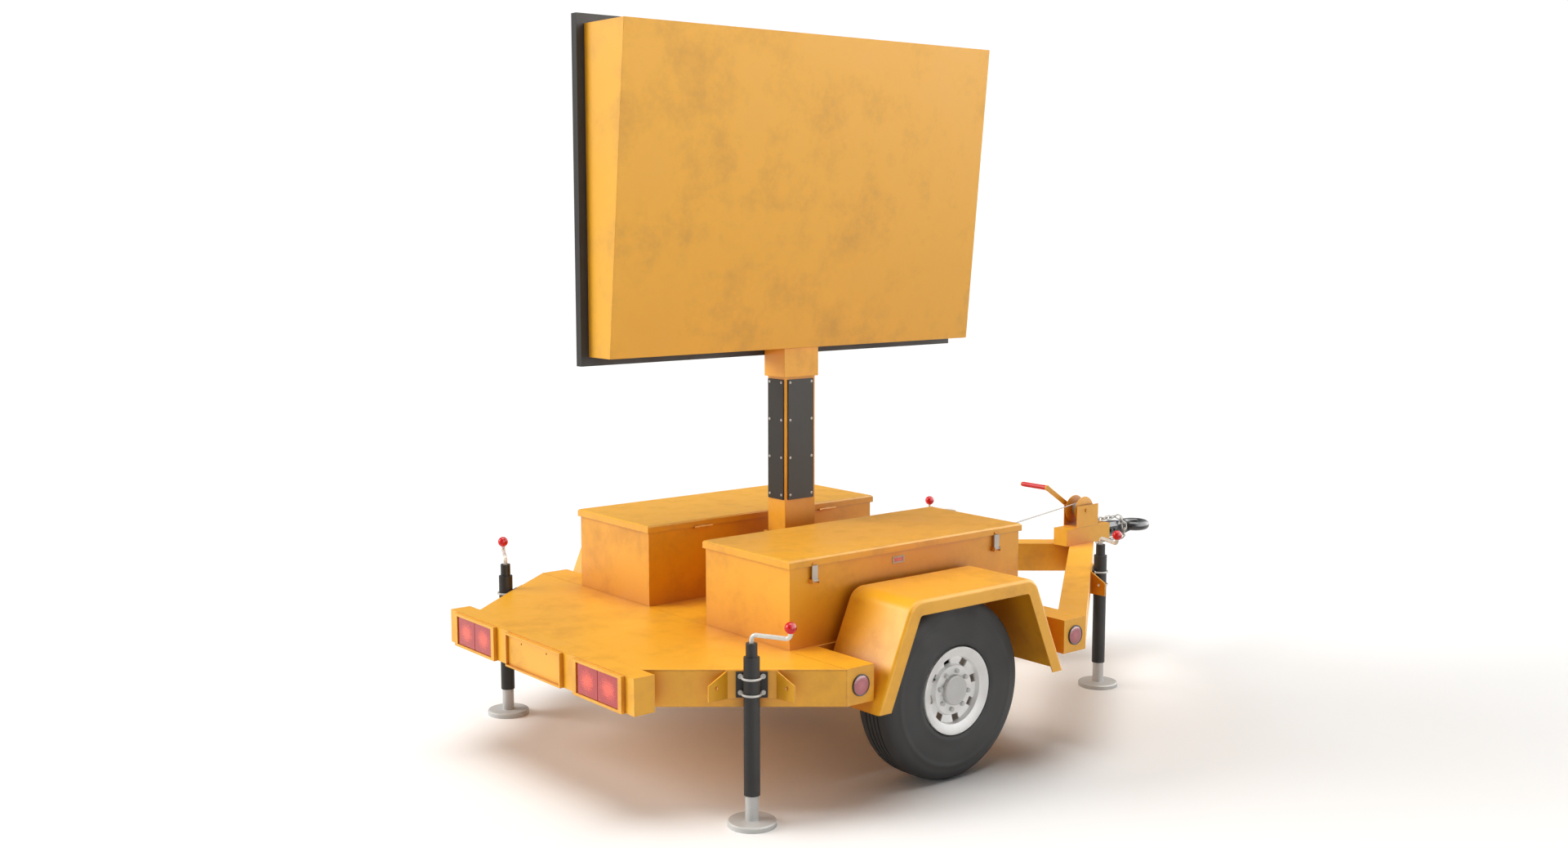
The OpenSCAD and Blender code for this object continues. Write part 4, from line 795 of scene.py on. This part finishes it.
# %% Hand grip
RINGS, GRIP_END = 22, 0.006
low, high = (Vector(corner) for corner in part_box("winch_grip"))
long = high.y - low.y
grip = [(0, 0), (0.0095, 0), (0.011, 0.0012)]
for k in range(RINGS):
    start = GRIP_END + k * (long - 2 * GRIP_END) / RINGS
    grip += [(0.0115, start), (0.0115, start + 0.0034), (0.0104, start + 0.0042), (0.0104, start + 0.0056)]
grip += [(0.011, long - 0.0012), (0.0095, long), (0, long)]
grip_start = Matrix.Translation(((low.x + high.x) / 2, low.y, (low.z + high.z) / 2))
finish_piece("grip_sleeve", moved(lathe(grip, 32), grip_start, lay_over), "winch_grip", knob_red,
             ("winch_grip",))
print("grip", round(long, 3), "m long with", RINGS, "rings")

# %% [markdown]
# ## What repeats
# Ribs, screws and lamps all repeat, so one node group sets a part on every point it is given,
# turns each a little from a fixed seed, makes the copies real and gives them their finish. The group's
# inputs are set before it is first evaluated, and the result is kept as one plain mesh.

# %% The repeating node group


def repeater():
    """A node group: a part on every point, each with its own turn about the part's own Z."""
    tree = bpy.data.node_groups.new("part_on_points", "GeometryNodeTree")
    face = tree.interface
    for name, kind in (("Points", "NodeSocketGeometry"), ("Part", "NodeSocketObject"),
                       ("Stand", "NodeSocketVector"), ("Turn", "NodeSocketFloat"), ("Seed", "NodeSocketInt"),
                       ("Finish", "NodeSocketMaterial")):
        face.new_socket(name, in_out="INPUT", socket_type=kind)
    face.new_socket("Parts", in_out="OUTPUT", socket_type="NodeSocketGeometry")
    given = tree.nodes.new("NodeGroupInput")
    part = add(tree, "GeometryNodeObjectInfo", None, {"Object": given.outputs["Part"]})
    spots = add(tree, "GeometryNodeInstanceOnPoints", None, {"Points": given.outputs["Points"],
                "Instance": part.outputs["Geometry"], "Rotation": given.outputs["Stand"]})
    less = add(tree, "ShaderNodeMath", {1: -1.0}, {0: given.outputs["Turn"]}, operation="MULTIPLY")
    chance = add(tree, "FunctionNodeRandomValue", None, {"Seed": given.outputs["Seed"]}, data_type="FLOAT")
    limits = {s.name: s for s in chance.inputs if s.type == "VALUE"}
    tree.links.new(less.outputs["Value"], limits["Min"])
    tree.links.new(given.outputs["Turn"], limits["Max"])
    drawn = [s for s in chance.outputs if s.type == "VALUE" and s.enabled][0]
    about = add(tree, "ShaderNodeCombineXYZ", None, {"Z": drawn})
    turned = add(tree, "GeometryNodeRotateInstances", {"Local Space": True},
                 {"Instances": spots.outputs["Instances"], "Rotation": about.outputs["Vector"]})
    real = add(tree, "GeometryNodeRealizeInstances", None, {"Geometry": turned.outputs["Instances"]})
    dressed = add(tree, "GeometryNodeSetMaterial", None, {"Geometry": real.outputs["Geometry"],
                  "Material": given.outputs["Finish"]})
    out = tree.nodes.new("NodeGroupOutput")
    tree.links.new(dressed.outputs["Geometry"], out.inputs["Parts"])
    return tree


PARTS_ON_POINTS = repeater()
print(len(PARTS_ON_POINTS.nodes), "nodes in the repeating group")

# %% Using the group


def repeated(part, points, finish_used, stand=(0, 0, 0), turn=0.0, seed=7):
    """One mesh with the part's mesh on every point, from the node group."""
    sample = bpy.data.objects.new("sample_part", part)
    spots = bpy.data.meshes.new("spots")
    spots.from_pydata([tuple(point) for point in points], [], [])
    holder = bpy.data.objects.new("spots_holder", spots)
    scene.collection.objects.link(sample)
    scene.collection.objects.link(holder)
    nodes_on = holder.modifiers.new("repeat", "NODES")
    nodes_on.node_group = PARTS_ON_POINTS
    values = {"Part": sample, "Stand": stand, "Turn": turn, "Seed": seed, "Finish": finish_used}
    for socket in PARTS_ON_POINTS.interface.items_tree:
        if socket.in_out == "INPUT" and socket.name in values:
            nodes_on[socket.identifier] = values[socket.name]
    holder.update_tag()
    shaped = holder.evaluated_get(bpy.context.evaluated_depsgraph_get())
    result = bpy.data.meshes.new_from_object(shaped)
    for gone in (holder, sample):
        bpy.data.objects.remove(gone)
    return result


# %% [markdown]
# Two more helpers serve the lenses: a flat chart, so that a lens finish knows its middle from its rim, and
# a small slab with rounded edges.

# %% Chart and slab


def charted(mesh, centre, across, up, wide, high):
    """A UV map from where each corner lies along two directions: one unit wide and high about the centre."""
    layer = mesh.uv_layers.get("UVMap") or mesh.uv_layers.new(name="UVMap")
    centre, across, up = Vector(centre), Vector(across), Vector(up)
    for loop in mesh.loops:
        away = mesh.vertices[loop.vertex_index].co - centre
        layer.data[loop.index].uv = (0.5 + away.dot(across) / wide, 0.5 + away.dot(up) / high)
    return mesh


def slab(size, centre, width=0.001):
    """A small box with rounded edges."""
    work = bmesh.new()
    bmesh.ops.create_cube(work, size=1.0, matrix=Matrix.Translation(centre) @ Matrix.Diagonal((*size, 1)))
    mesh = bpy.data.meshes.new("slab")
    work.to_mesh(mesh)
    work.free()
    return bevelled(mesh, width, 2, 30)


# %% [markdown]
# ### Tail lamps
# Each lens is a shallow moulding with a row of horizontal prisms. The prism row is the repeating group: one
# rounded rib on fourteen points.

# %% One prism rib
LENS_WIDE, LENS_TALL, LENS_SET, FROM_LAMP_MIDDLE, LAMP_Y = 0.1298, 0.109, 0.0012, 0.0659, 0.43473
RIBS, RIB_PITCH, RIB_FLATTEN = 14, 0.007, 0.62
rib_long = LENS_WIDE - 2 * RIB_PITCH
RIB_PROFILE = [(0, 0), (0.0012, 0.0001), (0.0022, 0.001), (0.0025, 0.003), (0.0025, rib_long - 0.003),
               (0.0022, rib_long - 0.001), (0.0012, rib_long - 0.0001), (0, rib_long)]
rib = moved(lathe(RIB_PROFILE, 10), Matrix.Translation((0, -rib_long / 2, 0)), lay_over,
            Matrix.Diagonal((RIB_FLATTEN, 1, 1, 1)))
print("rib", round(rib_long, 4), "m long")

# %% Tail lenses
lamp_low, lamp_high = (Vector(corner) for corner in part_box("tail_lenses"))
face_x = lamp_low.x + LENS_SET
lens_z = (lamp_low.z + lamp_high.z) / 2
lenses = []
for lamp_y in (-LAMP_Y, LAMP_Y):
    for y in (lamp_y - FROM_LAMP_MIDDLE, lamp_y + FROM_LAMP_MIDDLE):
        body = slab((0.006, LENS_WIDE, LENS_TALL), (face_x + 0.0032, y, lens_z), 0.0015)
        rows = [(face_x + 0.0016, y, lens_z + RIB_PITCH * (k - (RIBS - 1) / 2)) for k in range(RIBS)]
        whole = joined(body, repeated(rib, rows, tail_red))
        lenses.append(charted(whole, (face_x, y, lens_z), (0, 1, 0), (0, 0, 1), LENS_WIDE, LENS_TALL))
finish_piece("tail_lens_mouldings", joined(*lenses), "frame", tail_red, ("tail_lenses",))
print(len(lenses), "tail lenses of", RIBS, "ribs")

# %% [markdown]
# ### Reflectors
# A round road reflector is a dished prism disc in a dark rubber rim. The small markers under the lids are
# oblong, in a light plastic frame.

# %% Round reflectors
DISC = [(0, 0), (0.0335, 0), (0.0335, 0.0045), (0.030, 0.0058), (0.018, 0.0066), (0, 0.0069)]
RIM = [(0.0336, 0), (0.038, 0), (0.038, 0.0045), (0.0372, 0.0056), (0.036, 0.006), (0.0345, 0.0056),
       (0.0336, 0.0046), (0.0336, 0)]
BEAM_END, DISC_WIDE = 1.004, 2 * DISC[1][0]
discs, rims = [], []
for x in (middle("rear_cross_member").x, middle("front_cross_member").x):
    for sign in (1, -1):
        outwards = Matrix.Rotation(math.radians(-90 * sign), 4, "X")
        spot = Matrix.Translation((x, sign * BEAM_END, middle("rear_cross_member").z)) @ outwards
        disc = moved(lathe(DISC, 48), spot)
        discs.append(charted(disc, spot.translation, (1, 0, 0), (0, 0, 1), DISC_WIDE, DISC_WIDE))
        rims.append(moved(lathe(RIM, 48), spot))
finish_piece("round_reflectors", joined(*discs), "frame", reflector_red, ("reflectors",))
finish_piece("reflector_rims", joined(*rims), "frame", black_plastic)
print(len(discs), "round reflectors")

# %% [markdown]
# The frame's reflector part holds the two side markers too. They are the points nearer the middle than the
# beams' ends, so their places are read from there, and each gets a lens in a frame of four bars.

# %% Side markers
BAR_LONG, BAR_SHORT, FRAME_THICK = (0.058, 0.0052), (0.0058, 0.0158), 0.0029
ACROSS_MARKER, UP_MARKER, BOX_SIDE = 0.0261, 0.0104, 0.95
marker_lenses, marker_bars = [], []
for sign in (1, -1):
    own = [v.co for v in nodes["reflectors"].data.vertices if v.co.y * sign > 0 and abs(v.co.y) < BOX_SIDE]
    low, high = (Vector([pick(p[axis] for p in own) for axis in range(3)]) for pick in (min, max))
    centre = (low + high) / 2
    lens = slab((0.046, 0.0026, 0.015), (centre.x, centre.y + sign * 0.0001, centre.z), 0.0006)
    marker_lenses.append(charted(lens, centre, (1, 0, 0), (0, 0, 1), 0.08, 0.03))
    for (long, tall), x, z in ((BAR_LONG, 0, UP_MARKER), (BAR_LONG, 0, -UP_MARKER),
                               (BAR_SHORT, ACROSS_MARKER, 0), (BAR_SHORT, -ACROSS_MARKER, 0)):
        place = (centre.x + x, centre.y, centre.z + z)
        marker_bars.append(slab((long, FRAME_THICK, tall), place, 0.0005))
finish_piece("side_marker_lenses", joined(*marker_lenses), "frame", marker_red)
finish_piece("side_marker_frames", joined(*marker_bars), "frame", marker_frame)
print(len(marker_lenses), "side markers")

# %% [markdown]
# ### Wear plate screws
# Each wear plate is held by two columns of small flush screws, since the plates slide into the sleeve with
# half a millimetre to spare. The screws use the repeating group with a free turn each, so no two line up.

# %% Screws
SUNK, FREE_TURN = 0.0002, 3.1
screw = lathe([(0, 0), (0.0052, 0), (0.0052, 0.0003), (0.0048, 0.0005), (0.0017, 0.0005), (0.0014, 0.0001),
               (0, 0.0001)], 16)
plates_low, plates_high = (Vector(corner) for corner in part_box("wear_plates"))
plates_x = (plates_low.x + plates_high.x) / 2
levels = [plates_low.z + step for step in (0.019, 0.170, 0.321, 0.471)]
screw_sets = []
for sign in (1, -1):
    face = plates_high if sign > 0 else plates_low
    on_ends = [(face.x - sign * SUNK, y, z) for z in levels for y in (-0.037, 0.037)]
    stand = (0, math.radians(90 * sign), 0)
    screw_sets.append(repeated(screw, on_ends, bolt_zinc, stand, FREE_TURN, 11 + sign))
    on_sides = [(plates_x + x, face.y - sign * SUNK, z) for z in levels for x in (-0.055, 0.055)]
    stand = (math.radians(-90 * sign), 0, 0)
    screw_sets.append(repeated(screw, on_sides, bolt_zinc, stand, FREE_TURN, 17 + sign))
screws = finish_piece("wear_plate_screws", joined(*screw_sets), RIDES["wear_plates"], bolt_zinc)
print(len(screws.data.polygons), "faces in the screws")

# %% [markdown]
# ### Display lamps
# Each lamp is a domed amber lens in a thin black bezel. The dome and the bezel are turned once and set on the
# twenty-five lamp points: a middle row, and above and below it a short row and a shorter one.

# %% Lamp places
PITCH_X, PITCH_Z, DISPLAY_Y, DISPLAY_Z = 0.163017, 0.236667, 0.099, 2.151
grid = [(x, 0) for x in range(-5, 6)]
grid += [(x, z) for x in (-4, -1, 1, 4) for z in (-1, 1)]
grid += [(x, 2 * z) for x in (-3, 0, 3) for z in (-1, 1)]
lamp_places = [(x * PITCH_X - ROW_START, DISPLAY_Y, DISPLAY_Z + z * PITCH_Z) for x, z in grid]
print(len(lamp_places), "lamps")

# %% Domes and bezels
DOME = [(0, 0.0126), (0.012, 0.0124), (0.024, 0.0112), (0.034, 0.0092), (0.042, 0.0064), (0.0475, 0.003),
        (0.0475, 0.0), (0.044, 0.0), (0.044, -0.011), (0, -0.011)]
BEZEL = [(0.0476, 0.0004), (0.0519, 0.0004), (0.0519, 0.0044), (0.0508, 0.0052), (0.0486, 0.0052),
         (0.0476, 0.0044), (0.0476, 0.0004)]
LAMP_WIDE, FORWARD = 0.104, (math.radians(-90), 0, 0)
dome = charted(lathe(DOME[::-1], 32), (0, 0, 0), (1, 0, 0), (0, 1, 0), LAMP_WIDE, LAMP_WIDE)
domes = repeated(dome, lamp_places, amber, FORWARD)
finish_piece("amber_lamps", domes, RIDES["lamps"], amber, ("lamps",))
bezels = repeated(lathe(BEZEL, 32), lamp_places, black_plastic, FORWARD)
finish_piece("lamp_bezels", bezels, RIDES["lamps"], black_plastic)
